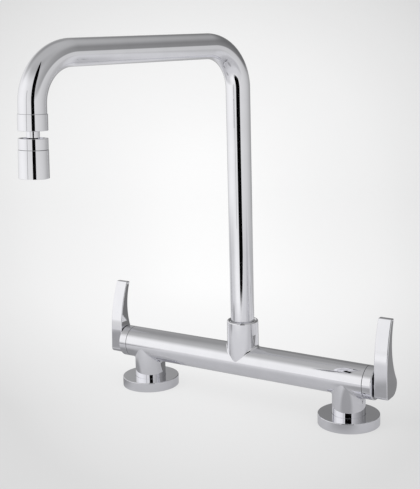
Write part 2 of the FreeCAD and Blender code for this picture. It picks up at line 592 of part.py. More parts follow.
def turning_parts(name, side):
    """What turns with a lever inside its headwork: moving disc, spindle, rings and clip."""
    lean = name + "_lever_lean"
    disc = ported_disc(name + "_moving_disc", MOVING_DISC, side, "run_gap")
    groove = key_outline(disc, "slot_outline", "driver_key_width + 2 * slip_gap",
                         plus(MOVING_DISC, "disc_thickness"), side)
    extrude(disc, "Pocket", "slot", groove, "driver_key_depth + slip_gap", reverse=side < 0)
    on_barrel_axis(disc, lean)

    waist = minus(SPINDLE_RADIUS, "seal_section")
    slim = minus(SPINDLE_RADIUS, "spindle_neck")
    driver_end = plus(DRIVER, "driver_length")
    collar_end = minus(NECK_START, "run_gap")
    half_seal = "(seal_section / 2 + slip_gap)"
    first = FIRST_SEAL
    second = plus(FIRST_SEAL, "seal_pitch")
    clip_start = plus(HEXAGON_END, "slip_gap")
    clip_end = plus(clip_start, "clip_thickness")
    clip_waist = minus("(spline_dia / 2)", "clip_groove")
    driver_radius = minus(SHELL_BORE, "driver_slack")
    collar_radius = minus(SHELL_BORE, "run_gap")
    collar_start = minus(collar_end, "collar_width")
    body = turned(name + "_spindle", [
        ("0", DRIVER), (driver_radius, DRIVER), (driver_radius, driver_end),
        (slim, driver_end), (slim, collar_start), (collar_radius, collar_start),
        (collar_radius, collar_end), (SPINDLE_RADIUS, collar_end),
        (SPINDLE_RADIUS, minus(first, half_seal)), (waist, minus(first, half_seal)),
        (waist, plus(first, half_seal)), (SPINDLE_RADIUS, plus(first, half_seal)),
        (SPINDLE_RADIUS, minus(second, half_seal)), (waist, minus(second, half_seal)),
        (waist, plus(second, half_seal)), (SPINDLE_RADIUS, plus(second, half_seal)),
        (SPINDLE_RADIUS, HEXAGON_END), ("(spline_dia / 2)", HEXAGON_END),
        ("(spline_dia / 2)", clip_start), (clip_waist, clip_start), (clip_waist, clip_end),
        ("(spline_dia / 2)", clip_end), ("(spline_dia / 2)", SPINDLE_END), ("0", SPINDLE_END)],
        "X", side)
    key = key_outline(body, "key_outline", "driver_key_width", DRIVER, side)
    extrude(body, "Pad", "key", key, "driver_key_depth", reverse=side > 0)
    ports = circles(body, "port_rounds", "YZ_Plane", [
        ("0", "disc_port_circle / 2", "disc_port"), ("0", "-disc_port_circle / 2", "disc_port")],
        signed(DRIVER, side))
    extrude(body, "Pocket", "ports", ports, "driver_length", reverse=side > 0)
    tooth_root = "(spline_dia / 2 - spline_depth)"
    tooth_top = "(spline_dia / 2 + slip_gap)"
    half_gap = "(spline_gap / 2)"
    gap = polygon(body, "tooth_gap", "YZ_Plane",
                  [("0", tooth_root), (half_gap, tooth_top), ("-" + half_gap, tooth_top)],
                  signed(SPINDLE_END, side))
    cut = extrude(body, "Pocket", "tooth", gap,
                  "spline_reach - clip_thickness - clip_margin", reverse=side < 0)
    repeat_round(body, cut, "teeth", "spline_teeth", "X_Axis")
    on_barrel_axis(body, lean)

    seal_radius = plus(waist, "seal_section / 2")
    rings = ring_section(name + "_spindle_rings", [(seal_radius, first), (seal_radius, second)],
                         "seal_section - ring_slack", "X", side)
    on_barrel_axis(rings, lean)
    clip = turned(name + "_spindle_clip", [
        (clip_waist, clip_start), ("(clip_dia / 2)", clip_start),
        ("(clip_dia / 2)", clip_end), (clip_waist, clip_end)], "X", side)
    mouth = polygon(clip, "mouth_outline", "YZ_Plane", [
        ("-clip_mouth / 2", "0"), ("clip_mouth / 2", "0"), ("clip_mouth / 2", "clip_dia"),
        ("-clip_mouth / 2", "clip_dia")], signed(clip_start, side))
    extrude(clip, "Pocket", "clip_gap", mouth, "clip_thickness", reverse=side > 0)
    on_barrel_axis(clip, lean)


def lever_outline(body, side):
    """The side view of a lever: straight front that sweeps back, hollow back, round heel."""
    front = VALUE["lever_front"]
    straight = VALUE["lever_straight"]
    sweep = VALUE["lever_sweep"]
    rise = VALUE["lever_rise"]
    drop = VALUE["heel_drop"]
    toe = VALUE["toe_radius"]
    heel = VALUE["heel_radius"]
    hollow = VALUE["lever_hollow"]
    toe_low = Vector(toe - front, -drop, 0)
    toe_high = Vector(-front, toe - drop, 0)
    toe_centre = Vector(toe - front, toe - drop, 0)
    front_end = Vector(-front, straight, 0)
    tip_front = Vector(sweep - front, rise, 0)
    tip_back = tip_front + Vector(VALUE["lever_tip"], 0, 0)
    climb = rise - straight
    sweep_radius = (sweep ** 2 + climb ** 2) / (2 * sweep)
    sweep_centre = Vector(sweep_radius - front, straight, 0)
    heel_centre = Vector(VALUE["heel_back"] - heel, heel - drop, 0)
    heel_low = heel_centre - Vector(0, heel, 0)
    span = heel_centre - tip_back
    along = (span.Length ** 2 + hollow ** 2 - (hollow + heel) ** 2) / (2 * span.Length)
    across = math.sqrt(hollow ** 2 - along ** 2)
    unit = Vector(span).normalize()
    hollow_centre = tip_back + unit * along + Vector(-unit.y, unit.x, 0) * across

    def arc(centre, start, end):
        circle = Part.Circle(centre, Vector(0, 0, 1), (start - centre).Length)
        angles = [math.atan2(point.y - centre.y, point.x - centre.x) for point in (start, end)]
        past = 2 * math.pi if angles[1] < angles[0] else 0
        return Part.ArcOfCircle(circle, angles[0], angles[1] + past)

    meeting = heel_centre + (hollow_centre - heel_centre).normalize() * heel
    sketch = new_sketch(body, "lever_outline", "YZ_Plane", signed(LEVER_START, side))
    sketch.addGeometry([
        Part.LineSegment(toe_high, front_end), arc(sweep_centre, tip_front, front_end),
        Part.LineSegment(tip_front, tip_back), arc(hollow_centre, tip_back, meeting),
        arc(heel_centre, heel_low, meeting), Part.LineSegment(heel_low, toe_low),
        arc(toe_centre, toe_high, toe_low)], False)
    for first, first_end, second, second_end in ((0, 2, 1, 2), (1, 1, 2, 1), (2, 2, 3, 1),
                                                 (4, 1, 5, 1), (5, 2, 6, 2), (6, 1, 0, 1)):
        sketch.addConstraint(Sketcher.Constraint("Coincident", first, first_end, second, second_end))
    sketch.addConstraint(Sketcher.Constraint("Tangent", 3, 2, 4, 2))
    place_point(sketch, 0, 1, "-lever_front", "(toe_radius - heel_drop)")
    place_point(sketch, 0, 2, "-lever_front", "lever_straight")
    place_point(sketch, 2, 1, "(lever_sweep - lever_front)", "lever_rise")
    place_point(sketch, 2, 2, "(lever_sweep - lever_front + lever_tip)", "lever_rise")
    place_point(sketch, 5, 1, "(heel_back - heel_radius)", "-heel_drop")
    place_point(sketch, 5, 2, "(toe_radius - lever_front)", "-heel_drop")
    constrain(sketch, "DistanceX", -1, 1, 6, 3, to="(toe_radius - lever_front)")
    place_point(sketch, 4, 3, "(heel_back - heel_radius)", "(heel_radius - heel_drop)")
    constrain(sketch, "DistanceY", -1, 1, 1, 3, to="lever_straight")
    constrain(sketch, "Radius", 3, to="lever_hollow")
    return sketch


def lever(name, side):
    """Hollow hub over the headwork, a short neck and the lever itself, with its locking screw."""
    lean = name + "_lever_lean"
    cup = minus(BARREL_RADIUS, "hub_wall")
    body = turned(name + "_lever", [
        ("0", CUP_FLOOR), (cup, CUP_FLOOR), (cup, HUB_START), (BARREL_RADIUS, HUB_START),
        (BARREL_RADIUS, minus(HUB_END, "hub_bevel")), (minus(BARREL_RADIUS, "hub_bevel"), HUB_END),
        ("neck_radius", HUB_END), ("neck_radius", LEVER_START), ("0", LEVER_START)], "X", side)
    blade = extrude(body, "Pad", "blade", lever_outline(body, side), "lever_width", reverse=side < 0)
    start = VALUE["inlet_spacing"] / 2 + VALUE["barrel_overhang"] + VALUE["seam_gap"]
    start += VALUE["hub_length"] + VALUE["neck_length"]
    ends = (start, start + VALUE["lever_width"])

    def at_edge(edge):
        points = samples(edge)
        on_side = any(all(abs(abs(point.x) - end) < 1e-3 for point in points) for end in ends)
        on_neck = all(abs(math.hypot(point.y, point.z) - VALUE["neck_radius"]) < 1e-2 for point in points)
        on_tip = all(abs(point.z - VALUE["lever_rise"]) < 1e-3 for point in points)
        return (on_side and not on_neck) or on_tip

    blend(body, "blade_edges", blade, at_edge, "lever_edge")
    socket_radius = "(spline_dia / 2 + run_gap)"
    socket_end = plus(SPINDLE_END, "spline_end_room")
    turned(None, [("0", CUP_FLOOR), (socket_radius, CUP_FLOOR),
                  (socket_radius, socket_end), ("0", socket_end)],
           "X", side, body, "Groove", "spline_socket")
    screw_place = plus(LEVER_START, "grub_place")
    hole = circles(body, "grub_round", "XY_Plane", [(signed(screw_place, side), "0", "grub_dia")])
    extrude(body, "Pocket", "grub_hole", hole, "heel_drop + lever_edge")
    on_barrel_axis(body, lean)

    screw = new_body(name + "_lever_screw")
    top = "-(spline_dia / 2 + grub_seat)"
    round_sketch = circles(screw, "screw_round", "XY_Plane",
                           [(signed(screw_place, side), "0", "grub_dia - slip_gap")], top)
    extrude(screw, "Pad", "screw", round_sketch, "grub_length", reverse=True)
    socket = hexagon_outline(screw, "socket_outline", "XY_Plane", "grub_dia / 2",
                             "-(spline_dia / 2 + grub_seat + grub_length)", signed(screw_place, side))
    extrude(screw, "Pocket", "socket", socket, "grub_length / 2", reverse=True)
    on_barrel_axis(screw, lean)


def swung(body):
    """Turns a piece with the spout at rest."""
    turn = FreeCAD.Rotation(Vector(0, 0, 1), VALUE["spout_swing"])
    body.Placement = FreeCAD.Placement(Vector(0, 0, 0), turn)
    body.setExpression("Placement.Rotation.Angle", bound("spout_swing"))


def at_outlet(body):
    """Carries a piece drawn upright over the origin to the outlet, which leans about the last bend."""
    out = "(reach - bend_radius * (1 - cos(outlet_splay)) + %s * sin(outlet_splay))" % BEND_HEIGHT
    lift = "(bend_radius * sin(outlet_splay) + %s * (1 - cos(outlet_splay)))" % BEND_HEIGHT
    place = "vector(%s * sin(spout_swing); -1 * %s * cos(spout_swing); %s)" % (out, out, lift)
    way = "rotation(spout_swing; 0; -1 * outlet_splay)"
    body.setExpression("Placement", bound("placement(%s; %s)" % (place, way)))


def spout_tube():
    """One bent tube: riser, arm and the short drop to the outlet."""
    body = new_body("spout_tube")
    bore = "(tube_dia - 2 * tube_wall)"
    section = circles(body, "section", "XY_Plane", [("0", "0", "tube_dia"), ("0", "0", bore)], TAIL_TOP)
    path = new_sketch(body, "path", "YZ_Plane")
    bend = VALUE["bend_radius"]
    reach = VALUE["reach"]
    arm = VALUE["arm_height"]
    low = Vector(0, 0, 0)
    riser_top = Vector(0, arm - bend, 0)
    arm_start = Vector(-bend, arm, 0)
    arm_end = Vector(bend - reach, arm, 0)
    quarter = math.pi / 2
    splay = math.radians(VALUE["outlet_splay"])
    bend_centre = Vector(bend - reach, arm - bend, 0)
    drop_start = bend_centre + Vector(-math.cos(splay), math.sin(splay), 0) * bend
    drop_end = drop_start - Vector(math.sin(splay), math.cos(splay), 0) * VALUE["outlet_straight"]
    first_bend = Part.Circle(Vector(-bend, arm - bend, 0), Vector(0, 0, 1), bend)
    second_bend = Part.Circle(bend_centre, Vector(0, 0, 1), bend)
    path.addGeometry([
        Part.LineSegment(low, riser_top), Part.ArcOfCircle(first_bend, 0, quarter),
        Part.LineSegment(arm_start, arm_end), Part.ArcOfCircle(second_bend, quarter, 2 * quarter - splay),
        Part.LineSegment(drop_start, drop_end)], False)
    for first, first_end, second, second_end in ((0, 2, 1, 1), (1, 2, 2, 1), (2, 2, 3, 1), (3, 2, 4, 1)):
        path.addConstraint(Sketcher.Constraint("Coincident", first, first_end, second, second_end))
    drop_y = "(bend_radius * (1 - cos(outlet_splay)) - reach)"
    drop_z = plus(BEND_HEIGHT, "bend_radius * sin(outlet_splay)")
    for edge, end, x, y in (
            (0, 1, "0", TAIL_TOP), (0, 2, "0", BEND_HEIGHT), (2, 1, "-bend_radius", "arm_height"),
            (2, 2, "(bend_radius - reach)", "arm_height"), (4, 1, drop_y, drop_z),
            (4, 2, minus(drop_y, "outlet_straight * sin(outlet_splay)"),
             minus(drop_z, "outlet_straight * cos(outlet_splay)")),
            (1, 3, "-bend_radius", BEND_HEIGHT), (3, 3, "(bend_radius - reach)", BEND_HEIGHT)):
        if edge in (1, 3):
            constrain(path, "DistanceX", -1, 1, edge, end, to=x)
        else:
            place_point(path, edge, end, x, y)
    document.recompute()
    pipe = body.newObject("PartDesign::AdditivePipe", "pipe")
    pipe.Profile = section
    pipe.Spine = (path, ["Edge%d" % number for number in range(1, 6)])
    document.recompute()
    swung(body)


def spout_root():
    """What lets the spout turn in the boss: tail with rings, washer, glide ring and keeper screw."""
    half = "(tail_ring_section / 2 + slip_gap)"
    low = plus(TAIL_BOTTOM, "tail_ring_start")
    high = plus(low, "tail_ring_pitch")
    waist = minus(TAIL_RADIUS, "tail_ring_section")
    keep_low = minus(KEEP_HEIGHT, "keep_groove_width / 2")
    keep_high = plus(KEEP_HEIGHT, "keep_groove_width / 2")
    keep_waist = minus(TAIL_RADIUS, "keep_groove_depth")
    bore = "(tube_dia / 2 - tube_wall)"
    tail = turned("spout_tail", [
        ("(tail_bore / 2)", TAIL_BOTTOM), (TAIL_RADIUS, TAIL_BOTTOM),
        (TAIL_RADIUS, minus(low, half)), (waist, minus(low, half)),
        (waist, plus(low, half)), (TAIL_RADIUS, plus(low, half)),
        (TAIL_RADIUS, minus(high, half)), (waist, minus(high, half)),
        (waist, plus(high, half)), (TAIL_RADIUS, plus(high, half)),
        (TAIL_RADIUS, keep_low), (keep_waist, keep_low), (keep_waist, keep_high), (TAIL_RADIUS, keep_high),
        (TAIL_RADIUS, TAIL_TOP), (bore, TAIL_TOP), (bore, plus(TAIL_TOP, "spigot_length")),
        ("(tail_bore / 2)", plus(TAIL_TOP, "spigot_length"))])
    swung(tail)
    centre = minus(TAIL_RADIUS, "tail_ring_section / 2")
    rings = ring_section("spout_tail_rings", [(centre, low), (centre, high)],
                         "tail_ring_section - ring_slack")
    swung(rings)
    turned("spout_thrust_washer", [
        ("(tail_bore / 2)", SOCKET_FLOOR), (minus(SOCKET_RADIUS, "slip_gap"), SOCKET_FLOOR),
        (minus(SOCKET_RADIUS, "slip_gap"), minus(TAIL_BOTTOM, "run_gap")),
        ("(tail_bore / 2)", minus(TAIL_BOTTOM, "run_gap"))])
    turned("spout_glide_ring", [
        ("(tube_dia / 2 + run_gap)", GLIDE_BOTTOM), (SOCKET_RADIUS, GLIDE_BOTTOM),
        (SOCKET_RADIUS, GLIDE_TOP), ("(tube_dia / 2 + run_gap)", GLIDE_TOP)])
    outer = minus(BOSS_RADIUS, "keeper_sunk")
    screw = turned("spout_keeper_screw", [
        ("0", minus(SOCKET_RADIUS, "keeper_tip_length")),
        ("(keeper_tip_dia / 2)", minus(SOCKET_RADIUS, "keeper_tip_length")),
        ("(keeper_tip_dia / 2)", SOCKET_RADIUS), ("(keeper_dia / 2)", SOCKET_RADIUS),
        ("(keeper_dia / 2)", outer), ("0", outer)])
    socket = hexagon_outline(screw, "socket_outline", "XY_Plane", "keeper_dia / 2", outer)
    extrude(screw, "Pocket", "socket", socket, "boss_wall / 2")
    screw.Placement = FreeCAD.Placement(Vector(0, 0, 0), FreeCAD.Rotation(Vector(1, 0, 0), -90))
    screw.setExpression("Placement.Base.z", bound(KEEP_HEIGHT))


def outlet_swivel():
    """Nipple, collar, washer and the ball stem that turns in the collar."""
    thread = "(tube_dia / 2 - tube_wall - thread_relief)"
    nipple = turned("outlet_nipple", [
        ("(nipple_bore / 2)", NIPPLE_BOTTOM), (thread, NIPPLE_BOTTOM), (thread, OUTLET),
        ("(tube_dia / 2 - tube_wall)", OUTLET), ("(tube_dia / 2 - tube_wall)", plus(OUTLET, "nipple_grip")),
        ("(nipple_bore / 2)", plus(OUTLET, "nipple_grip"))])
    floor = plus(COLLAR_BOTTOM, "collar_floor")
    collar = turned("swivel_collar", [
        ("(neck_dia / 2 + run_gap)", COLLAR_BOTTOM), ("(collar_dia / 2)", COLLAR_BOTTOM, "collar_edge"),
        ("(collar_dia / 2)", OUTLET, "collar_edge"), (thread, OUTLET), (thread, floor),
        ("(neck_dia / 2 + run_gap)", floor)])
    washer_radius = minus(thread, "slip_gap")
    washer_bottom = plus(STEM_TOP, "run_gap")
    washer = turned("collar_washer", [
        ("(collar_washer_bore / 2)", washer_bottom), (washer_radius, washer_bottom),
        (washer_radius, NIPPLE_BOTTOM), ("(collar_washer_bore / 2)", NIPPLE_BOTTOM)])
    stem = turned("ball_stem", [
        ("0", BALL), ("(neck_dia / 2)", BALL), ("(neck_dia / 2)", STEM_BOTTOM),
        ("(stem_flange_dia / 2)", STEM_BOTTOM), ("(stem_flange_dia / 2)", STEM_TOP), ("0", STEM_TOP)])
    ball = stem.newObject("PartDesign::AdditiveSphere", "ball")
    ball.setExpression("Radius", bound("ball_dia / 2"))
    ball.setExpression("Placement.Base.z", bound(BALL))
    document.recompute()
    flat = minus(BALL, "ball_flat")
    turned(None, [("0", minus(BALL, "ball_dia")), ("ball_dia", minus(BALL, "ball_dia")),
                  ("ball_dia", flat), ("(stem_bore / 2)", flat), ("(stem_bore / 2)", STEM_TOP),
                  ("0", STEM_TOP)], body=stem, kind="Groove", name="water_passage")
    for piece in (nipple, collar, washer, stem):
        at_outlet(piece)


def spray_head():
    """Ring nut, cup and sleeve that tilt on the ball, with the aerator inside."""
    ball_room = "(ball_dia / 2 + ball_gap)"
    nut = turned("ring_nut", [
        ("(nut_mouth / 2)", NUT_TOP), ("(nut_dia / 2)", NUT_TOP, "collar_edge"),
        ("(nut_dia / 2)", NUT_BOTTOM, "collar_edge"), ("(nut_skirt_dia / 2)", NUT_BOTTOM),
        ("(nut_skirt_dia / 2)", minus(NUT_BOTTOM, "nut_skirt")), (ball_room, minus(NUT_BOTTOM, "nut_skirt")),
        (ball_room, plus(BALL, "nut_hold")), ("(nut_lip / 2)", minus(NUT_TOP, "nut_cone"))])
    cup = turned("ball_cup", [
        ("(cup_bore / 2)", CUP_BOTTOM), (minus(ball_room, "ball_gap"), CUP_BOTTOM),
        (minus(ball_room, "ball_gap"), CUP_TOP), ("(ball_dia / 2 - cup_lip)", CUP_TOP),
        ("(cup_bore / 2)", minus(CUP_TOP, "cup_cone"))])
    cup_seal = turned("cup_seal", [
        ("(sleeve_web_bore / 2)", WEB_TOP), (minus(ball_room, "ball_gap"), WEB_TOP),
        (minus(ball_room, "ball_gap"), CUP_BOTTOM), ("(sleeve_web_bore / 2)", CUP_BOTTOM)])
    foot = "(sleeve_dia / 2 + sleeve_flare)"
    sleeve = turned("spray_sleeve", [
        ("(nut_skirt_dia / 2)", NUT_BOTTOM), ("(sleeve_dia / 2)", NUT_BOTTOM, "collar_edge"),
        (foot, SLEEVE_BOTTOM, "collar_edge"), ("(insert_dia / 2)", SLEEVE_BOTTOM),
        ("(insert_dia / 2)", WEB_BOTTOM), ("(sleeve_web_bore / 2)", WEB_BOTTOM),
        ("(sleeve_web_bore / 2)", WEB_TOP), ("(nut_skirt_dia / 2)", WEB_TOP)])
    inside = "(insert_dia / 2 - slip_gap)"
    insert_seal = turned("aerator_seal", [
        (INSERT_BORE, INSERT_TOP), (inside, INSERT_TOP), (inside, WEB_BOTTOM), (INSERT_BORE, WEB_BOTTOM)])
    insert = turned("aerator_insert", [
        ("0", INSERT_BOTTOM), (inside, INSERT_BOTTOM), (inside, INSERT_TOP), (INSERT_BORE, INSERT_TOP),
        (INSERT_BORE, plus(INSERT_BOTTOM, "lattice_height")), ("0", plus(INSERT_BOTTOM, "lattice_height"))])
    drill_rings(insert, INSERT_BOTTOM, "lattice_height", "jet_dia",
                (("0", "1"), ("jet_pitch", "6"), ("2 * jet_pitch", "12")))
    plate_bottom = minus(INSERT_TOP, "diffuser_thickness")
    plate = turned("aerator_diffuser", [
        ("0", plate_bottom), (INSERT_BORE, plate_bottom), (INSERT_BORE, INSERT_TOP), ("0", INSERT_TOP)])
    drill_rings(plate, plate_bottom, "diffuser_thickness", "diffuser_hole_dia",
                (("diffuser_circle / 2", "diffuser_holes"),))
    screens = new_body("aerator_screens")
    for number in range(2):
        start = plus(INSERT_BOTTOM, "lattice_height", "%d * screen_pitch" % number)
        sketch = circles(screens, "screen_round_%d" % number, "XY_Plane",
                         [("0", "0", "2 * " + INSERT_BORE)], start)
        extrude(screens, "Pad", "screen_%d" % number, sketch, "screen_thickness")
    for piece in (nut, cup, cup_seal, sleeve, insert_seal, insert, plate, screens):
        at_outlet(piece)


def drill_rings(body, start, depth, diameter, rings):
    """Round holes up through a plate, on rings given by radius and count."""
    for number, (radius, count) in enumerate(rings):
        sketch = circles(body, "hole_round_%d" % number, "XY_Plane", [(radius, "0", diameter)], start)
        hole = extrude(body, "Pocket", "hole_%d" % number, sketch, depth, reverse=True)
        if count != "1":
            repeat_round(body, hole, "holes_%d" % number, count, "Z_Axis")


def build():
    bridge_body()
    deck_flanges()
    for name, side in LEGS:
        headwork(name, side)
        turning_parts(name, side)
        lever(name, side)
    spout_tube()
    spout_root()
    outlet_swivel()
    spray_head()
    document.recompute()


def export():
    """Checks every object and writes each piece to its own file."""
    for item in document.Objects:
        if "Invalid" in item.State or "Error" in item.State:
            raise ValueError("%s is %s" % (item.Label, item.State))
    os.makedirs(PARTS, exist_ok=True)
    bodies = [item for item in document.Objects if item.TypeId == "PartDesign::Body"]
    for body in bodies:
        shape = body.Shape
        if shape.isNull() or not shape.isValid() or not shape.Solids:
            raise ValueError("%s has no valid solid" % body.Label)
        shape.exportStep(os.path.join(PARTS, body.Label + ".step"))
    print("pieces:", len(bodies), "solids:", sum(len(body.Shape.Solids) for body in bodies))


build()
export()
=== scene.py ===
# Looks of a two-handle kitchen mixer: polished chrome in a pale studio.
# Blender 4.5, metres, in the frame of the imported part: +Z up, -Y to the user, origin on the deck.
# The chrome skins are drawn from their true outlines, so that reflections run cleanly over them.
import json
import math

import bpy
from mathutils import Matrix, Vector


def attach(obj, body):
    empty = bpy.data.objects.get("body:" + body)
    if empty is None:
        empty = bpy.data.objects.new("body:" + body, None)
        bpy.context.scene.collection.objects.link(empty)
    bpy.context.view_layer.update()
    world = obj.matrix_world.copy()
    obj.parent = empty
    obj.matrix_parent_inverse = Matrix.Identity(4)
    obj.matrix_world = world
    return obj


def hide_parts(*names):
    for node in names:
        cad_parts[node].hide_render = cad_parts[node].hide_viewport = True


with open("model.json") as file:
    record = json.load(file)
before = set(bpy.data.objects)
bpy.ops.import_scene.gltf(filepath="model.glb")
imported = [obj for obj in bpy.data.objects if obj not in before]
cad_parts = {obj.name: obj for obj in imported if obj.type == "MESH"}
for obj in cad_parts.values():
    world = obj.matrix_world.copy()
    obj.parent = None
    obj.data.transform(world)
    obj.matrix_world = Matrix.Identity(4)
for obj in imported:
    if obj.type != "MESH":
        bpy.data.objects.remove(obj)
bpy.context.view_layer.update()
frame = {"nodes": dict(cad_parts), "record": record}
MM = 0.001
ROUND = 160
SIDES = {"left": -1, "right": 1}

# The bridge, in millimetres
SPACING = 200.0
BARREL_END = SPACING / 2 + 17.0
BARREL_RADIUS = 13.8
BARREL_HEIGHT = 38.0
SEAT_RADIUS = 11.8
SEAT_DEPTH = 1.5
LEG_RADIUS = 13.7
LEG_BLEND = 2.2
BOSS_RADIUS = 13.4
BOSS_FLARE = 0.25
BOSS_RIM = BARREL_HEIGHT + 36.2
BOSS_ROUND = 1.3
BOSS_BLEND = 2.0
SOCKET_RADIUS = 11.0
RIM_CHAMFER = 0.9
SOCKET_FLOOR = BARREL_HEIGHT + 8.0
MIXING_RADIUS = 6.5
INLET_RADIUS = 9.3
INLET_DEPTH = 15.0
WATERWAY_RADIUS = 5.5
THREAD_PITCH = 1.814
THREAD_DEPTH = 0.6
KEEPER_HEIGHT = 60.5
KEEPER_RADIUS = 2.0
KEEPER_PATCH_START = BARREL_HEIGHT + 2.0
KEEPER_PATCH_END = BOSS_RIM - 4.0
KEEPER_PATCH_HALF = 14.0
FLANGE_RADIUS = 25.5
FLANGE_HEIGHT = 8.5
FLANGE_ROUND = 0.6
FLANGE_BORE = LEG_RADIUS + 0.1
GASKET = (15.9, 22.9, 2.0)
FINE_EDGE = 0.15
BLEND_STEPS = 10
THREAD_STEPS = 96

# The levers
HUB_START = BARREL_END + 0.35
HUB_END = HUB_START + 7.6
HUB_BEVEL = 0.6
CUP_RADIUS = BARREL_RADIUS - 2.0
CUP_FLOOR = HUB_END - 2.6
NECK_RADIUS = 7.6
LEVER_START = HUB_END + 0.7
LEVER_WIDTH = 11.6
LEVER_FRONT = 8.8
LEVER_STRAIGHT = 10.0
LEVER_RISE = 54.7
LEVER_SWEEP = 9.1
LEVER_TIP = 4.7
LEVER_HOLLOW = 58.0
HEEL_BACK = 11.3
HEEL_DROP = 10.5
HEEL_RADIUS = 9.2
TOE_RADIUS = 3.6
LEVER_EDGE = 0.8
SCREW_PLACE = 3.5
SCREW_RADIUS = 2.5
SCREW_DEPTH = 2.6
SCREW_STEPS = 48
EDGE_STEPS = 8
LEANS = {"left": -2.9, "right": 1.5}

# The spout and the spray head
ARM_HEIGHT = 305.4
REACH = 204.2
BEND = 35.0
BEND_STEPS = 60
TUBE_RADIUS = 10.0
TAIL_TOP = 63.5
SWING = math.radians(-12.0)
SPLAY = math.radians(2.4)
OUTLET_STRAIGHT = 6.5
BEND_HEIGHT = ARM_HEIGHT - BEND
OUTLET = BEND_HEIGHT - OUTLET_STRAIGHT
COLLAR_RADIUS = 10.5
COLLAR_BOTTOM = OUTLET - 11.4
COLLAR_FLOOR = 2.7
COLLAR_BORE = 8.75
STEM_RADIUS = 4.65
STEM_GAP = 0.06
STEM_FLANGE_RADIUS = 7.5
STEM_FLANGE = 1.5
STEM_BORE = 2.8
BALL_RADIUS = 7.0
BALL_CUT = 6.2
BALL_STEPS = 48
BALL_OVERLAP = 1.0
BALL_OVERLAP_ANGLE = math.radians(3)
BALL = COLLAR_BOTTOM - 12.0
NUT_TOP = COLLAR_BOTTOM - 5.1
NUT_BOTTOM = NUT_TOP - 7.9
NUT_RADIUS = 10.4
NUT_MOUTH = 9.4
NUT_LIP = 6.3
NUT_CONE = 3.2
NUT_BORE = 7.15
NUT_REST = 0.9
NUT_SKIRT_RADIUS = 9.2
NUT_SKIRT = 4.8
SLEEVE_TOP_RADIUS = 10.6
SLEEVE_FOOT_RADIUS = 10.75
SLEEVE_BOTTOM = NUT_BOTTOM - 19.8
SLEEVE_BORE = 9.3
SLEEVE_WEB = 10.0
SLEEVE_WEB_TOP = 11.5
SLEEVE_CHANNEL = 4.5
TURNED_EDGE = 0.35

# The camera of the photograph: metres, degrees, pixels, and the sensor in millimetres
CAMERA_PLACE = (0.4430, -0.7272, 0.3200)
CAMERA_HEADING = 33.11
CAMERA_PITCH = -11.90
CAMERA_ROLL = -1.51
FOCAL_PIXELS = 1030.8
FRAME_HEIGHT_PIXELS = 489
SENSOR = 36.0
CLIP_START = 0.01


def rounded(corners, closed=False):
    """Runs of (x, y, normal x, normal y) along an outline whose matter lies to the left.

    Each corner is (x, y) or (x, y, radius). Straight stretches and rounds are runs of their own.
    """
    count = len(corners)
    points = [Vector(corner[:2]) for corner in corners]
    radii = [corner[2] if len(corner) == 3 else 0.0 for corner in corners]
    trims = [0.0] * count
    arcs = {}
    inner = range(count) if closed else range(1, count - 1)
    for index in inner:
        before = (points[index] - points[index - 1]).normalized()
        after = (points[(index + 1) % count] - points[index]).normalized()
        bend = math.atan2(before.x * after.y - before.y * after.x, before.dot(after))
        if radii[index] > 0 and abs(bend) > 1e-6:
            trims[index] = radii[index] * math.tan(abs(bend) / 2)
            arcs[index] = (before, bend)
    runs = []
    for index in range(count if closed else count - 1):
        following = (index + 1) % count
        way = (points[following] - points[index]).normalized()
        normal = (way.y, -way.x)
        start = points[index] + way * trims[index]
        end = points[following] - way * trims[following]
        if (end - start).length > 1e-6:
            runs.append([(start.x, start.y) + normal, (end.x, end.y) + normal])
        if following in arcs:
            before, bend = arcs[following]
            sign = 1 if bend > 0 else -1
            heading = math.atan2(before.y, before.x)
            centre = end - Vector((before.y, -before.x)) * radii[following] * sign
            steps = max(6, int(abs(bend) / math.radians(6)))
            run = []
            for step in range(steps + 1):
                angle = heading + bend * step / steps
                out = Vector((math.sin(angle), -math.cos(angle)))
                place = centre + out * radii[following] * sign
                run.append((place.x, place.y, out.x, out.y))
            runs.append(run)
    return runs


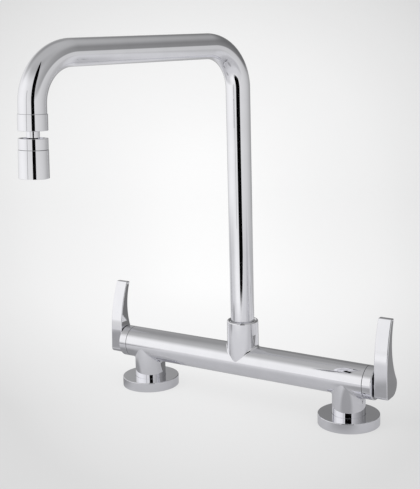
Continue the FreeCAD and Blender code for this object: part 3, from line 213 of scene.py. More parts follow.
class Skin:
    """Strips of surface with their true normals, which become one piece."""

    def __init__(self):
        self.points = []
        self.normals = []
        self.faces = []

    def strip(self, rows, closed=True):
        """Faces between rows of (point, normal)."""
        base = len(self.points)
        width = len(rows[0])
        for row in rows:
            for point, normal in row:
                self.points.append(Vector(point))
                self.normals.append(Vector(normal).normalized())
        for row in range(len(rows) - 1):
            for column in range(width if closed else width - 1):
                first = base + row * width + column
                second = base + row * width + (column + 1) % width
                self.face((first, second, second + width, first + width))

    def face(self, corners):
        """One face, turned so that it looks the way its normals do."""
        flat = Vector((0, 0, 0))
        for index, corner in enumerate(corners):
            flat += self.points[corner].cross(self.points[corners[(index + 1) % len(corners)]])
        facing = sum((self.normals[corner] for corner in corners), Vector((0, 0, 0)))
        self.faces.append(corners if flat.dot(facing) >= 0 else tuple(reversed(corners)))

    def cap(self, row):
        """A flat face round a closed row of (point, normal)."""
        base = len(self.points)
        for point, normal in row:
            self.points.append(Vector(point))
            self.normals.append(Vector(normal))
        self.face(tuple(range(base, base + len(row))))

    def turned(self, corners, centre=(0, 0), axis="Z", side=1, closed=False, sector=None):
        """Turns an outline of (radius, height) corners; a sector in degrees leaves the rest open."""
        start, end = sector or (0.0, 360.0)
        steps = ROUND if sector is None else max(8, int(ROUND * (end - start) / 360))
        angles = [math.radians(start + (end - start) * step / steps) for step in range(steps + 1)]
        for run in rounded(corners, closed):
            rows = []
            for radius, height, out, up in run:
                row = []
                for angle in angles if sector else angles[:-1]:
                    c, s = math.cos(angle), math.sin(angle)
                    if axis == "Z":
                        point = (centre[0] + radius * c, centre[1] + radius * s, height)
                        normal = (out * c, out * s, up)
                    else:
                        point = (side * height, centre[0] + radius * c, centre[1] + radius * s)
                        normal = (side * up, out * c, out * s)
                    row.append((point, normal))
                rows.append(row)
            self.strip(rows, closed=sector is None)

    def pierced(self, low, high, centre, radius, place, rows=6, count=64):
        """A stretch of surface from low to high with a round hole; place gives (point, normal)."""
        angles = [2 * math.pi * step / count for step in range(count)]
        angles += [math.atan2(y - centre[1], x - centre[0]) % (2 * math.pi)
                   for x in (low[0], high[0]) for y in (low[1], high[1])]
        rim = []
        for angle in sorted(angles):
            c, s = math.cos(angle), math.sin(angle)
            reach_x = ((high[0] if c > 0 else low[0]) - centre[0]) / c if abs(c) > 1e-9 else math.inf
            reach_y = ((high[1] if s > 0 else low[1]) - centre[1]) / s if abs(s) > 1e-9 else math.inf
            rim.append((c, s, min(reach_x, reach_y)))
        strips = []
        for row in range(rows + 1):
            share = row / rows
            strips.append([place(centre[0] + c * (radius + share * (far - radius)),
                                 centre[1] + s * (radius + share * (far - radius))) for c, s, far in rim])
        self.strip(strips)

    def tube(self, path, radius, side):
        """A round tube along (point, direction) places that lie in one upright plane."""
        rows = []
        for point, direction in path:
            other = direction.cross(side)
            row = []
            for step in range(ROUND):
                angle = 2 * math.pi * step / ROUND
                out = side * math.cos(angle) + other * math.sin(angle)
                row.append((point + out * radius, out))
            rows.append(row)
        self.strip(rows)

    def saddle(self, centre_x, radius, blend, down):
        """The blend between an upright cylinder of that radius and the barrel."""
        rows = [[] for step in range(BLEND_STEPS + 1)]
        for index in range(ROUND):
            angle = 2 * math.pi * index / ROUND
            c, s = math.cos(angle), math.sin(angle)
            y = (radius + blend) * s
            rise = math.sqrt((BARREL_RADIUS + blend) ** 2 - y ** 2)
            height = -rise if down else rise
            middle = Vector((centre_x + (radius + blend) * c, y, BARREL_HEIGHT + height))
            to_post = Vector((-c, -s, 0))
            to_barrel = Vector((0, -y, -height)).normalized()
            spread = to_post.angle(to_barrel)
            for step in range(BLEND_STEPS + 1):
                share = step / BLEND_STEPS
                way = (to_post * math.sin((1 - share) * spread) + to_barrel * math.sin(share * spread))
                way.normalize()
                rows[step].append((middle + way * blend, -way))
        self.strip(rows)

    def thread(self, centre_x, radius, start, end):
        """The turns of a thread inside a bore, seen from below."""
        rows = []
        for level in range(THREAD_STEPS + 1):
            height = start + (end - start) * level / THREAD_STEPS
            row = []
            for step in range(ROUND):
                angle = 2 * math.pi * step / ROUND
                phase = height / THREAD_PITCH - step / ROUND
                wave = math.cos(2 * math.pi * phase)
                slope = math.sin(2 * math.pi * phase) * math.pi * THREAD_DEPTH / THREAD_PITCH
                c, s = math.cos(angle), math.sin(angle)
                depth = radius + THREAD_DEPTH / 2 * (1 + wave)
                row.append(((centre_x + depth * c, depth * s, height), (-c, -s, -slope)))
            rows.append(row)
        self.strip(rows)

    def piece(self, name, body, nodes, slot, place=None):
        """Makes the piece, puts it in place of the CAD nodes and lets it ride on the body."""
        mesh = bpy.data.meshes.new(name)
        place = place or Matrix()
        mesh.from_pydata([(place @ point) * MM for point in self.points], [], self.faces)
        mesh.shade_smooth()
        turned = place.to_3x3()
        mesh.normals_split_custom_set_from_vertices([turned @ normal for normal in self.normals])
        piece = bpy.data.objects.new(name, mesh)
        bpy.context.scene.collection.objects.link(piece)
        mesh.materials.append(FINISHES[slot])
        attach(piece, body)
        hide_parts(*nodes)


def grey(level, blue=1.0):
    """A grey of that level, with its blue raised or lowered by a factor."""
    return (level, level, level * blue, 1.0)


class Shader:
    """Short names for building a node tree."""

    def __init__(self, tree):
        self.tree = tree
        tree.nodes.clear()

    def node(self, kind, inputs=None, **settings):
        """A new node, its sockets linked or set."""
        made = self.tree.nodes.new(kind)
        for key, value in settings.items():
            setattr(made, key, value)
        for key, value in (inputs or {}).items():
            if isinstance(value, bpy.types.NodeSocket):
                self.tree.links.new(value, made.inputs[key])
            else:
                made.inputs[key].default_value = value
        return made

    def math(self, operation, first, second=0.0):
        """The number that comes from two numbers."""
        return self.node("ShaderNodeMath", {0: first, 1: second}, operation=operation).outputs[0]

    def vector(self, operation, first, second=(0.0, 0.0, 0.0)):
        """The number that comes from two vectors: a length, a distance or a dot product."""
        made = self.node("ShaderNodeVectorMath", {0: first, 1: second}, operation=operation)
        return made.outputs["Value"]

    def mix(self, share, first, second):
        """One surface passing into another."""
        return self.node("ShaderNodeMixShader", {0: share, 1: first, 2: second}).outputs[0]

    def card(self, colour):
        """A matt surface."""
        return self.node("ShaderNodeBsdfDiffuse", {"Color": colour}).outputs[0]

    def glow(self, colour):
        """A surface that shows at its own level."""
        return self.node("ShaderNodeEmission", {"Color": colour}).outputs[0]

    def clear(self):
        """A surface that isn't seen."""
        return self.node("ShaderNodeBsdfTransparent").outputs[0]

    def place(self):
        return self.node("ShaderNodeNewGeometry").outputs["Position"]

    def parts(self, vector):
        """The x, y and z of a vector."""
        return self.node("ShaderNodeSeparateXYZ", {0: vector}).outputs

    def rays(self):
        return self.node("ShaderNodeLightPath").outputs

    def mirrors(self):
        """1 for rays that left a mirror or came through glass, otherwise 0."""
        rays = self.rays()
        return self.math("MAXIMUM", rays["Is Glossy Ray"], rays["Is Transmission Ray"])

    def surface(self, socket):
        self.node("ShaderNodeOutputMaterial", {"Surface": socket})

    def spread(self, value, low, high, to_low=0.0, to_high=1.0, smooth=True):
        """The value's range low to high taken to another range."""
        made = self.node("ShaderNodeMapRange", {"Value": value, "From Min": low, "From Max": high,
                                                "To Min": to_low, "To Max": to_high})
        made.interpolation_type = "SMOOTHSTEP" if smooth else "LINEAR"
        return made.outputs["Result"]

    def ramp(self, value, stops):
        """A colour by value; each stop is (position, grey level or colour)."""
        made = self.node("ShaderNodeValToRGB", {"Fac": value})
        band = made.color_ramp
        band.interpolation = "B_SPLINE" if len(stops) > 4 else "LINEAR"
        while len(band.elements) < len(stops):
            band.elements.new(0.5)
        for element, (position, level) in zip(band.elements, stops):
            element.position = position
            element.color = level + (1.0,) if isinstance(level, tuple) else grey(level)
        return made.outputs["Color"]

    def blend(self, share, first, second):
        """One colour passing into another."""
        return self.node("ShaderNodeMix", {0: share, 6: first, 7: second}, data_type="RGBA").outputs[2]


def new_finish(name):
    material = bpy.data.materials.new(name)
    material.use_nodes = True
    return material, Shader(material.node_tree)


def principled(shader, inputs):
    shader.surface(shader.node("ShaderNodeBsdfPrincipled", inputs).outputs[0])


def grain(shader, scale, detail=4.0, stretch=(1, 1, 1)):
    """A cloudy pattern in the matter, stretched along its axes."""
    place = shader.node("ShaderNodeTexCoord").outputs["Object"]
    mapped = shader.node("ShaderNodeMapping", {"Vector": place, "Scale": stretch}).outputs[0]
    noise = shader.node("ShaderNodeTexNoise", {"Vector": mapped, "Scale": scale, "Detail": detail})
    return noise.outputs["Fac"]


def relief(shader, height, strength, distance):
    """The normals of a surface with fine heights."""
    return shader.node("ShaderNodeBump", {"Height": height, "Strength": strength,
                                          "Distance": distance}).outputs["Normal"]


# The painted shade in the gaps between chrome pieces: its tone, its reach and the heights over which it
# begins to show, in metres
PAINTED_SHADE_TONE = (0.20, 0.20, 0.21, 1.0)
PAINTED_SHADE_REACH = 0.0011
PAINTED_SHADE_START = (1.3 * FLANGE_HEIGHT * MM, 1.5 * FLANGE_HEIGHT * MM)


def chrome_finish():
    """Polished chrome plate, almost a mirror, with faint waves of the polishing wheel.

    Its colour is darkened with painted shade in the gaps between the pieces above the flanges.
    """
    material, shader = new_finish("chrome")
    haze = grain(shader, 55.0, 6.0)
    waves = grain(shader, 70.0, 2.0)
    height = shader.parts(shader.place())[2]
    # Painted shade: the base colour darkens where nearby pieces occlude it, above the flanges
    low_down = shader.spread(height, PAINTED_SHADE_START[1], PAINTED_SHADE_START[0])
    gap = shader.node("ShaderNodeAmbientOcclusion", {"Distance": PAINTED_SHADE_REACH}).outputs["AO"]
    unshaded_share = shader.math("MAXIMUM", gap, low_down)
    polish = shader.ramp(haze, [(0.3, (0.87, 0.87, 0.90)), (0.7, (0.91, 0.91, 0.94))])
    principled(shader, {
        "Base Color": shader.blend(shader.spread(unshaded_share, 0.30, 0.95), PAINTED_SHADE_TONE, polish),
        "Metallic": 1.0,
        "Roughness": shader.spread(haze, 0.35, 0.75, 0.02, 0.045),
        "Normal": relief(shader, waves, 0.12, 0.00004)})
    return material


def brass_finish():
    """Turned brass with the fine rings of the tool."""
    material, shader = new_finish("brass")
    cloud = grain(shader, 90.0)
    principled(shader, {
        "Base Color": shader.ramp(cloud, [(0.3, (0.62, 0.44, 0.19)), (0.7, (0.80, 0.62, 0.32))]),
        "Metallic": 1.0,
        "Roughness": shader.spread(cloud, 0.3, 0.7, 0.22, 0.38),
        "Normal": relief(shader, grain(shader, 900.0, 2.0), 0.2, 0.00005)})
    return material


def rubber_finish():
    """Black sealing rubber with a dusty bloom."""
    material, shader = new_finish("rubber")
    bloom = grain(shader, 160.0)
    principled(shader, {
        "Base Color": shader.ramp(bloom, [(0.35, (0.012, 0.012, 0.013)), (0.75, (0.035, 0.035, 0.036))]),
        "Roughness": shader.spread(bloom, 0.3, 0.7, 0.5, 0.72),
        "Normal": relief(shader, grain(shader, 2500.0, 3.0), 0.25, 0.00005)})
    return material


def ceramic_finish():
    """Ground alumina discs."""
    material, shader = new_finish("ceramic")
    speck = grain(shader, 1200.0, 3.0)
    principled(shader, {
        "Base Color": shader.ramp(speck, [(0.3, (0.80, 0.78, 0.72)), (0.7, (0.88, 0.87, 0.83))]),
        "Roughness": shader.spread(speck, 0.3, 0.7, 0.12, 0.25)})
    return material


def plastic_finish():
    """White engineering plastic with the faint texture of its mould."""
    material, shader = new_finish("white_plastic")
    mould = grain(shader, 700.0, 3.0)
    cloud = grain(shader, 60.0)
    principled(shader, {
        "Base Color": shader.ramp(cloud, [(0.3, (0.76, 0.76, 0.74)), (0.7, (0.84, 0.84, 0.82))]),
        "Roughness": shader.spread(mould, 0.3, 0.7, 0.38, 0.5),
        "Subsurface Weight": 0.05,
        "Normal": relief(shader, mould, 0.15, 0.00004)})
    return material


def steel_finish():
    """Stainless steel with a drawn grain."""
    material, shader = new_finish("steel")
    lines = grain(shader, 300.0, 4.0, (1, 1, 12))
    principled(shader, {
        "Base Color": shader.ramp(lines, [(0.3, (0.48, 0.48, 0.48)), (0.7, (0.64, 0.64, 0.65))]),
        "Metallic": 1.0,
        "Roughness": shader.spread(lines, 0.3, 0.7, 0.2, 0.36),
        "Normal": relief(shader, lines, 0.15, 0.00003)})
    return material


FINISHES = {"chrome": chrome_finish(), "brass": brass_finish(), "rubber": rubber_finish(),
            "ceramic": ceramic_finish(), "white_plastic": plastic_finish(), "steel": steel_finish()}


def dress_cad_nodes():
    """Every node of the part takes the finish of its material slot."""
    for entry in frame["record"]["subparts"]:
        node = frame["nodes"][entry["node"]]
        if not node.data.materials:
            node.data.materials.append(None)
        for slot in node.material_slots:
            slot.material = FINISHES[entry["material_slot"]]


def bridge_skin():
    """Barrel, legs and boss with their blends, the socket and the two threaded inlets."""
    skin = Skin()
    seat = BARREL_END - SEAT_DEPTH
    for side in SIDES.values():
        skin.turned([(SEAT_RADIUS, seat), (SEAT_RADIUS, BARREL_END), (BARREL_RADIUS, BARREL_END, FINE_EDGE),
                     (BARREL_RADIUS, 0.0)][::-1], (0, BARREL_HEIGHT), "X", side)
        x = side * SPACING / 2
        skin.turned([(WATERWAY_RADIUS, INLET_DEPTH), (INLET_RADIUS, INLET_DEPTH)][::-1], (x, 0))
        skin.turned([(WATERWAY_RADIUS, BARREL_HEIGHT), (WATERWAY_RADIUS, INLET_DEPTH)], (x, 0))
        skin.thread(x, INLET_RADIUS, 0.0, INLET_DEPTH)
        skin.turned([(INLET_RADIUS + THREAD_DEPTH, 0.0), (LEG_RADIUS, 0.0, FINE_EDGE),
                     (LEG_RADIUS, BARREL_HEIGHT)], (x, 0))
        skin.saddle(x, LEG_RADIUS, LEG_BLEND, down=True)
    slope = BOSS_FLARE / (BOSS_RIM - BARREL_HEIGHT)

    def boss_wall(height):
        return BOSS_RADIUS + slope * (BOSS_RIM - height)

    skin.saddle(0.0, boss_wall(BARREL_HEIGHT + math.hypot(BARREL_RADIUS, BOSS_BLEND)), BOSS_BLEND, down=False)
    low = KEEPER_PATCH_START
    high = KEEPER_PATCH_END
    skin.turned([(boss_wall(high), high), (BOSS_RADIUS, BOSS_RIM, BOSS_ROUND),
                 (SOCKET_RADIUS + RIM_CHAMFER, BOSS_RIM, FINE_EDGE),
                 (SOCKET_RADIUS, BOSS_RIM - RIM_CHAMFER), (SOCKET_RADIUS, SOCKET_FLOOR),
                 (MIXING_RADIUS, SOCKET_FLOOR), (MIXING_RADIUS, BARREL_HEIGHT)])
    skin.turned([(boss_wall(low), low), (boss_wall(high), high)],
                sector=(90 + KEEPER_PATCH_HALF, 450 - KEEPER_PATCH_HALF))

    def on_boss(along, height):
        angle = math.pi / 2 + along / boss_wall(height)
        c, s = math.cos(angle), math.sin(angle)
        radius = boss_wall(height)
        return (radius * c, radius * s, height), (c, s, slope)

    edge = math.radians(KEEPER_PATCH_HALF) * BOSS_RADIUS
    skin.pierced((-edge, low), (edge, high), (0, KEEPER_HEIGHT), KEEPER_RADIUS, on_boss)
    skin.piece("chrome_bridge", "bridge", ["bridge_body"], "chrome")


def flange_skin(name, side):
    """Deck flange with its gasket groove underneath."""
    skin = Skin()
    inner, outer, depth = GASKET
    skin.turned([(FLANGE_BORE, 0.0), (inner, 0.0), (inner, depth), (outer, depth), (outer, 0.0),
                 (FLANGE_RADIUS, 0.0, FINE_EDGE), (FLANGE_RADIUS, FLANGE_HEIGHT, FLANGE_ROUND),
                 (FLANGE_BORE, FLANGE_HEIGHT, FINE_EDGE)], (side * SPACING / 2, 0), closed=True)
    skin.piece(name + "_chrome_flange", "bridge", [name + "_flange"], "chrome")


def arc(centre, radius, start, end, outward=True, step=math.radians(2)):
    """Places (y, z, normal y, normal z) along an arc."""
    count = max(8, int(abs(end - start) / step))
    run = []
    for index in range(count + 1):
        angle = start + (end - start) * index / count
        c, s = math.cos(angle), math.sin(angle)
        sign = 1 if outward else -1
        run.append((centre[0] + radius * c, centre[1] + radius * s, sign * c, sign * s))
    return run


def corner(point, way_in, way_out, radius):
    """A small round where two stretches meet, and how much of each it takes."""
    bend = math.atan2(way_in[0] * way_out[1] - way_in[1] * way_out[0],
                      way_in[0] * way_out[0] + way_in[1] * way_out[1])
    trim = radius * math.tan(bend / 2)
    heading = math.atan2(way_in[1], way_in[0])
    start = (point[0] - way_in[0] * trim, point[1] - way_in[1] * trim)
    centre = (start[0] - math.sin(heading) * radius, start[1] + math.cos(heading) * radius)
    return arc(centre, radius, heading - math.pi / 2, heading + bend - math.pi / 2), trim


def lever_outline():
    """Side view of a lever about the barrel axis: (y, z, normal y, normal z), matter to the left."""
    toe = (TOE_RADIUS - LEVER_FRONT, TOE_RADIUS - HEEL_DROP)
    heel = (HEEL_BACK - HEEL_RADIUS, HEEL_RADIUS - HEEL_DROP)
    tip_front = (LEVER_SWEEP - LEVER_FRONT, LEVER_RISE)
    tip_back = (tip_front[0] + LEVER_TIP, LEVER_RISE)
    climb = LEVER_RISE - LEVER_STRAIGHT
    sweep_radius = (LEVER_SWEEP ** 2 + climb ** 2) / (2 * LEVER_SWEEP)
    sweep = (sweep_radius - LEVER_FRONT, LEVER_STRAIGHT)
    span = math.dist(heel, tip_back)
    along = (span ** 2 + LEVER_HOLLOW ** 2 - (LEVER_HOLLOW + HEEL_RADIUS) ** 2) / (2 * span)
    across = math.sqrt(LEVER_HOLLOW ** 2 - along ** 2)
    unit = ((heel[0] - tip_back[0]) / span, (heel[1] - tip_back[1]) / span)
    hollow = (tip_back[0] + unit[0] * along - unit[1] * across,
              tip_back[1] + unit[1] * along + unit[0] * across)
    heel_end = math.atan2(hollow[1] - heel[1], hollow[0] - heel[0])
    back_start = heel_end + math.pi
    back_end = math.atan2(tip_back[1] - hollow[1], tip_back[0] - hollow[0])
    front_start = math.atan2(tip_front[1] - sweep[1], tip_front[0] - sweep[0])
    way_up = (math.sin(back_end), -math.cos(back_end))
    way_down = (-math.sin(front_start), math.cos(front_start))
    back_corner, back_trim = corner(tip_back, way_up, (-1, 0), LEVER_EDGE)
    front_corner, front_trim = corner(tip_front, (-1, 0), way_down, LEVER_EDGE)
    outline = arc(heel, HEEL_RADIUS, -math.pi / 2, heel_end)
    outline += arc(hollow, LEVER_HOLLOW, back_start, back_end + back_trim / LEVER_HOLLOW, outward=False,
                   step=math.radians(0.7))
    outline += back_corner
    outline += front_corner
    outline += arc(sweep, sweep_radius, front_start + front_trim / sweep_radius, math.pi,
                   step=math.radians(0.4))
    outline += arc(toe, TOE_RADIUS, math.pi, 1.5 * math.pi)
    return outline


def lever_skin(name, side):
    """Hub with its hollow, neck and blade, pierced below for the screw."""
    skin = Skin()
    skin.turned([(0.0, CUP_FLOOR), (CUP_RADIUS, CUP_FLOOR), (CUP_RADIUS, HUB_START),
                 (BARREL_RADIUS, HUB_START, FINE_EDGE), (BARREL_RADIUS, HUB_END - HUB_BEVEL, FINE_EDGE),
                 (BARREL_RADIUS - HUB_BEVEL, HUB_END, FINE_EDGE), (NECK_RADIUS, HUB_END),
                 (NECK_RADIUS, LEVER_START)][::-1], axis="X", side=side)
    outline = lever_outline()
    rows = []
    for outer in (False, True):
        for step in range(EDGE_STEPS + 1):
            share = step / EDGE_STEPS if outer else 1 - step / EDGE_STEPS
            angle = share * math.pi / 2
            inset = LEVER_EDGE * (1 - math.cos(angle))
            x = LEVER_EDGE * (1 - math.sin(angle))
            x = LEVER_START + (LEVER_WIDTH - x if outer else x)
            lean = math.sin(angle) * (1 if outer else -1) * side
            flat = math.cos(angle)
            rows.append([((side * x, y - ny * inset, z - nz * inset), (lean, ny * flat, nz * flat))
                         for y, z, ny, nz in outline])
    skin.strip(rows, closed=False)
    low_y = outline[-1][0]
    high_y = outline[0][0]
    ends = (LEVER_START + LEVER_EDGE, LEVER_START + LEVER_WIDTH - LEVER_EDGE)
    for outer in (False, True):
        edge = []
        for row in rows[EDGE_STEPS + 1:] if outer else rows[:EDGE_STEPS + 1]:
            edge.append([row[-1], row[0]])
        skin.strip(edge, closed=False)
    screw = LEVER_START + SCREW_PLACE

    def underneath(x, y):
        return (side * x, y, -HEEL_DROP), (0, 0, -1)

    skin.pierced((ends[0], low_y), (ends[1], high_y), (screw, 0.0), SCREW_RADIUS, underneath, rows=1)
    wall = []
    for height in (-HEEL_DROP, -HEEL_DROP + SCREW_DEPTH):
        row = []
        for step in range(SCREW_STEPS):
            angle = 2 * math.pi * step / SCREW_STEPS
            c, s = math.cos(angle), math.sin(angle)
            row.append(((side * screw + SCREW_RADIUS * c, SCREW_RADIUS * s, height), (-c, -s, 0)))
        wall.append(row)
    skin.strip(wall)
    for row, way in ((rows[0], -side), (rows[-1], side)):
        skin.cap([(point, (way, 0, 0)) for point, normal in row])
    lean = Matrix.Translation((0, 0, BARREL_HEIGHT)) @ Matrix.Rotation(math.radians(LEANS[name]), 4, "X")
    skin.piece(name + "_chrome_lever", name + "_handle", [name + "_lever"], "chrome", lean)


def spout_skin():
    """One bent tube from the boss to the outlet, which leans a little outward."""
    skin = Skin()
    arm = Vector((math.sin(SWING), -math.cos(SWING), 0))
    up = Vector((0, 0, 1))
    side = arm.cross(up)
    skin.tube([(up * TAIL_TOP, up), (up * BEND_HEIGHT, up)], TUBE_RADIUS, side)
    first, second = [], []
    for step in range(BEND_STEPS + 1):
        angle = math.pi / 2 * step / BEND_STEPS
        c, s = math.cos(angle), math.sin(angle)
        first.append((arm * BEND * (1 - c) + up * (BEND_HEIGHT + BEND * s), arm * s + up * c))
        angle = (math.pi / 2 - SPLAY) * step / BEND_STEPS
        c, s = math.cos(angle), math.sin(angle)
        second.append((arm * (REACH - BEND + BEND * s) + up * (BEND_HEIGHT + BEND * c), arm * c - up * s))
    skin.tube(first, TUBE_RADIUS, side)
    skin.tube([first[-1], second[0]], TUBE_RADIUS, side)
    skin.tube(second, TUBE_RADIUS, side)
    place, way = second[-1]
    skin.tube([(place, way), (place + way * OUTLET_STRAIGHT, way)], TUBE_RADIUS, side)
    skin.piece("chrome_spout", "spout", ["spout_tube"], "chrome")


# Carries what is drawn upright over the origin to the outlet, leaning about the last bend
OUTLET_FRAME = (Matrix.Rotation(SWING, 4, "Z") @ Matrix.Translation((0, BEND - REACH, BEND_HEIGHT))
                @ Matrix.Rotation(-SPLAY, 4, "X") @ Matrix.Translation((0, -BEND, -BEND_HEIGHT)))


def outlet_skins():
    """Swivel collar, ball stem, ring nut and spray sleeve, all turned about the outlet."""
    collar_bore = STEM_RADIUS + STEM_GAP
    collar_floor = COLLAR_BOTTOM + COLLAR_FLOOR
    collar = Skin()
    collar.turned([(collar_bore, COLLAR_BOTTOM, FINE_EDGE), (COLLAR_RADIUS, COLLAR_BOTTOM, TURNED_EDGE),
                   (COLLAR_RADIUS, OUTLET, TURNED_EDGE), (COLLAR_BORE, OUTLET),
                   (COLLAR_BORE, collar_floor), (collar_bore, collar_floor)], closed=True)
    collar.piece("chrome_collar", "spout", ["swivel_collar"], "chrome", OUTLET_FRAME)
    stem = Skin()
    flange_foot = collar_floor + STEM_GAP
    flange_top = flange_foot + STEM_FLANGE
    meet = BALL + math.sqrt(BALL_RADIUS ** 2 - STEM_RADIUS ** 2)
    stem.turned([(STEM_RADIUS, meet - BALL_OVERLAP), (STEM_RADIUS, flange_foot),
                 (STEM_FLANGE_RADIUS, flange_foot), (STEM_FLANGE_RADIUS, flange_top),
                 (STEM_BORE, flange_top), (STEM_BORE, BALL - BALL_CUT)])
    rows = []
    low = math.asin(-BALL_CUT / BALL_RADIUS)
    high = math.acos(STEM_RADIUS / BALL_RADIUS) + BALL_OVERLAP_ANGLE
    for level in range(BALL_STEPS + 1):
        tilt = low + (high - low) * level / BALL_STEPS
        flat, rise = math.cos(tilt), math.sin(tilt)
        row = []
        for step in range(ROUND):
            angle = 2 * math.pi * step / ROUND
            out = Vector((flat * math.cos(angle), flat * math.sin(angle), rise))
            row.append((out * BALL_RADIUS + Vector((0, 0, BALL)), out))
        rows.append(row)
    stem.strip(rows)
    stem.piece("chrome_ball_stem", "swivel", ["ball_stem"], "chrome", OUTLET_FRAME)
    nut = Skin()
    skirt = NUT_BOTTOM - NUT_SKIRT
    nut.turned([(NUT_SKIRT_RADIUS, skirt), (NUT_SKIRT_RADIUS, NUT_BOTTOM),
                (NUT_RADIUS, NUT_BOTTOM, TURNED_EDGE), (NUT_RADIUS, NUT_TOP, TURNED_EDGE),
                (NUT_MOUTH, NUT_TOP, FINE_EDGE), (NUT_LIP, NUT_TOP - NUT_CONE, FINE_EDGE),
                (NUT_BORE, BALL + NUT_REST), (NUT_BORE, skirt)], closed=True)
    nut.piece("chrome_ring_nut", "spray_head", ["ring_nut"], "chrome", OUTLET_FRAME)
    sleeve = Skin()
    web = SLEEVE_BOTTOM + SLEEVE_WEB
    web_top = SLEEVE_BOTTOM + SLEEVE_WEB_TOP
    sleeve.turned([(SLEEVE_BORE, web), (SLEEVE_BORE, SLEEVE_BOTTOM, FINE_EDGE),
                   (SLEEVE_FOOT_RADIUS, SLEEVE_BOTTOM, TURNED_EDGE),
                   (SLEEVE_TOP_RADIUS, NUT_BOTTOM, TURNED_EDGE),
                   (NUT_SKIRT_RADIUS, NUT_BOTTOM), (NUT_SKIRT_RADIUS, web_top),
                   (SLEEVE_CHANNEL, web_top), (SLEEVE_CHANNEL, web)], closed=True)
    sleeve.piece("chrome_spray_sleeve", "spray_head", ["spray_sleeve"], "chrome", OUTLET_FRAME)


# How bright the room is round the tap, by share of a turn that starts behind it and passes the
# left, the camera's side and the right: at table height, on the floor, just above it, and overhead
HORIZON = ((0.0, 0.26), (0.03, 0.40), (0.08, 0.74), (0.17, 0.90), (0.26, 0.98), (0.34, 0.95), (0.40, 0.79),
           (0.46, 0.78), (0.57, 0.76), (0.70, 0.67), (0.78, 0.57), (0.85, 0.43), (0.93, 0.34), (1.0, 0.28))
TABLE = ((0.0, 0.44), (0.10, 0.68), (0.20, 0.70), (0.26, 0.62), (0.31, 0.76), (0.37, 0.96), (0.45, 0.84),
         (0.58, 0.66), (0.70, 0.56), (0.80, 0.50), (1.0, 0.44))
WALL = ((0.0, 0.26), (0.03, 0.40), (0.08, 0.74), (0.17, 0.90), (0.26, 0.98), (0.34, 0.95), (0.40, 0.79),
        (0.48, 0.76), (0.56, 0.58), (0.63, 0.42), (0.70, 0.32), (0.78, 0.22), (0.85, 0.15), (0.93, 0.16),
        (1.0, 0.26))
OVERHEAD = ((0.0, 0.33), (0.10, 0.29), (0.16, 0.36), (0.21, 0.44), (0.26, 0.51), (0.35, 0.42), (0.42, 0.47),
            (0.51, 0.35), (0.66, 0.46), (0.95, 0.44), (1.0, 0.34))
CEILING = grey(0.47)
ROOM_TURN = math.radians(31.4)
# Degrees above the horizon over which table height passes into the wall, and the overhead tones
# into the plain ceiling
WALL_FROM = (1.0, 8.0)
CEILING_FROM = (50.0, 72.0)
# The wall's upper end in degrees, by share of a turn, and the degrees about it over which it fades
WALL_END = (0.19, 0.28, 27.0, 41.0)
WALL_FADE = (-14.0, 13.0)
# The room for the camera and for soft light
CAMERA_ROOM = (0.75, 0.75, 0.76, 1.0)
SOFT_ROOM = grey(0.93)
# The floor as mirrors see it: its tones beside the bridge, darker there as painted shade, and farther out.
# By metres from the bridge the second takes over, then the tones of TABLE; by metres from the origin those of
# HORIZON do, and more of the floor glows
PAINTED_SHADE_BESIDE_BRIDGE = (0.51, 0.51, 0.52, 1.0)
FARTHER_OUT = (0.65, 0.65, 0.66, 1.0)
FARTHER_FROM = (0.04, 0.16)
TABLE_FROM = (0.20, 0.36)
HORIZON_FROM = (0.55, 1.2)
FLOOR_GLOW = (0.30, 0.80, 0.6, 1.0)
# Its shaded places: x, y, full within, gone beyond, tone
SHADED = ((-0.150, -0.010, 0.020, 0.050, 0.30), (-0.245, -0.150, 0.030, 0.075, 0.34),
          (0.112, -0.072, 0.028, 0.055, 0.35))
# The pool of light on floor and backdrop, by distance from its middle. It widens away from the
# camera, its middle lies a little to the left, and it fades towards the camera and up the backdrop
POOL = ((0.0, 1.0), (0.10, 1.0), (0.22, 0.96), (0.33, 0.935), (0.44, 0.91), (0.53, 0.893), (0.60, 0.868),
        (0.67, 0.838), (0.72, 0.825), (0.83, 0.78), (0.93, 0.735), (1.0, 0.69))
POOL_END = 1.5
POOL_WIDTH = (0.0, 1.6, 0.173, 0.50)
POOL_LEAST_WIDTH = 0.08
POOL_SHIFT = 0.09
POOL_MIDDLE = 0.465
POOL_LENGTH = 0.46
POOL_HEIGHT = 0.37
# The share of it that the camera sees at its own level, without shadow
POOL_GLOW = 0.82

# Floor and backdrop, and the flags that only mirrors see, in metres
STAGE_REACH = 2.2
BACKDROP_START = 1.1
BACKDROP_BEND = 0.5
BACKDROP_STEPS = 16
BACKDROP_TOP = 2.4
LIFT = 0.0005
# The black flag: its feet, its height, where its apron starts and where it fades in
FLAG_FEET = (Vector((0.0934, -0.4043, 0.0)), Vector((0.7630, -0.6943, 0.0)))
FLAG_TOP = 0.78
FLAG_APRON = 0.6
FLAG_FADE = (0.28, 0.42)
# The low strips behind the bridge, which glow though they are no lamps: name, start and end along x, level;
# their section as y, z
STRIPS = (("left", -0.11, -0.005, 0.17), ("right", 0.15, 0.33, 0.25))
STRIP_PROFILE = ((0.03, LIFT), (0.155, LIFT), (0.10, 0.060))
STRIP_RANGE = 0.22
# The upright stand in front of the tap, which glows though it is no lamp: start and end along x, y, height
STAND = (-0.105, -0.055, -0.80, 0.50)
STAND_LEVEL = 0.45
STAND_RANGE = 2.0

# Lamps: name, place, size, power
LAMPS = (("key", (-0.7, -0.9, 1.1), 1.2, 9.0), ("fill", (0.9, -0.3, 0.9), 1.0, 4.0))
LAMP_TARGET = (0, 0, 0.1)

# Level directions away from the camera and across its view
HEADING = math.radians(CAMERA_HEADING)
AWAY = Vector((-math.sin(HEADING), math.cos(HEADING), 0))
ACROSS = Vector((math.cos(HEADING), math.sin(HEADING), 0))


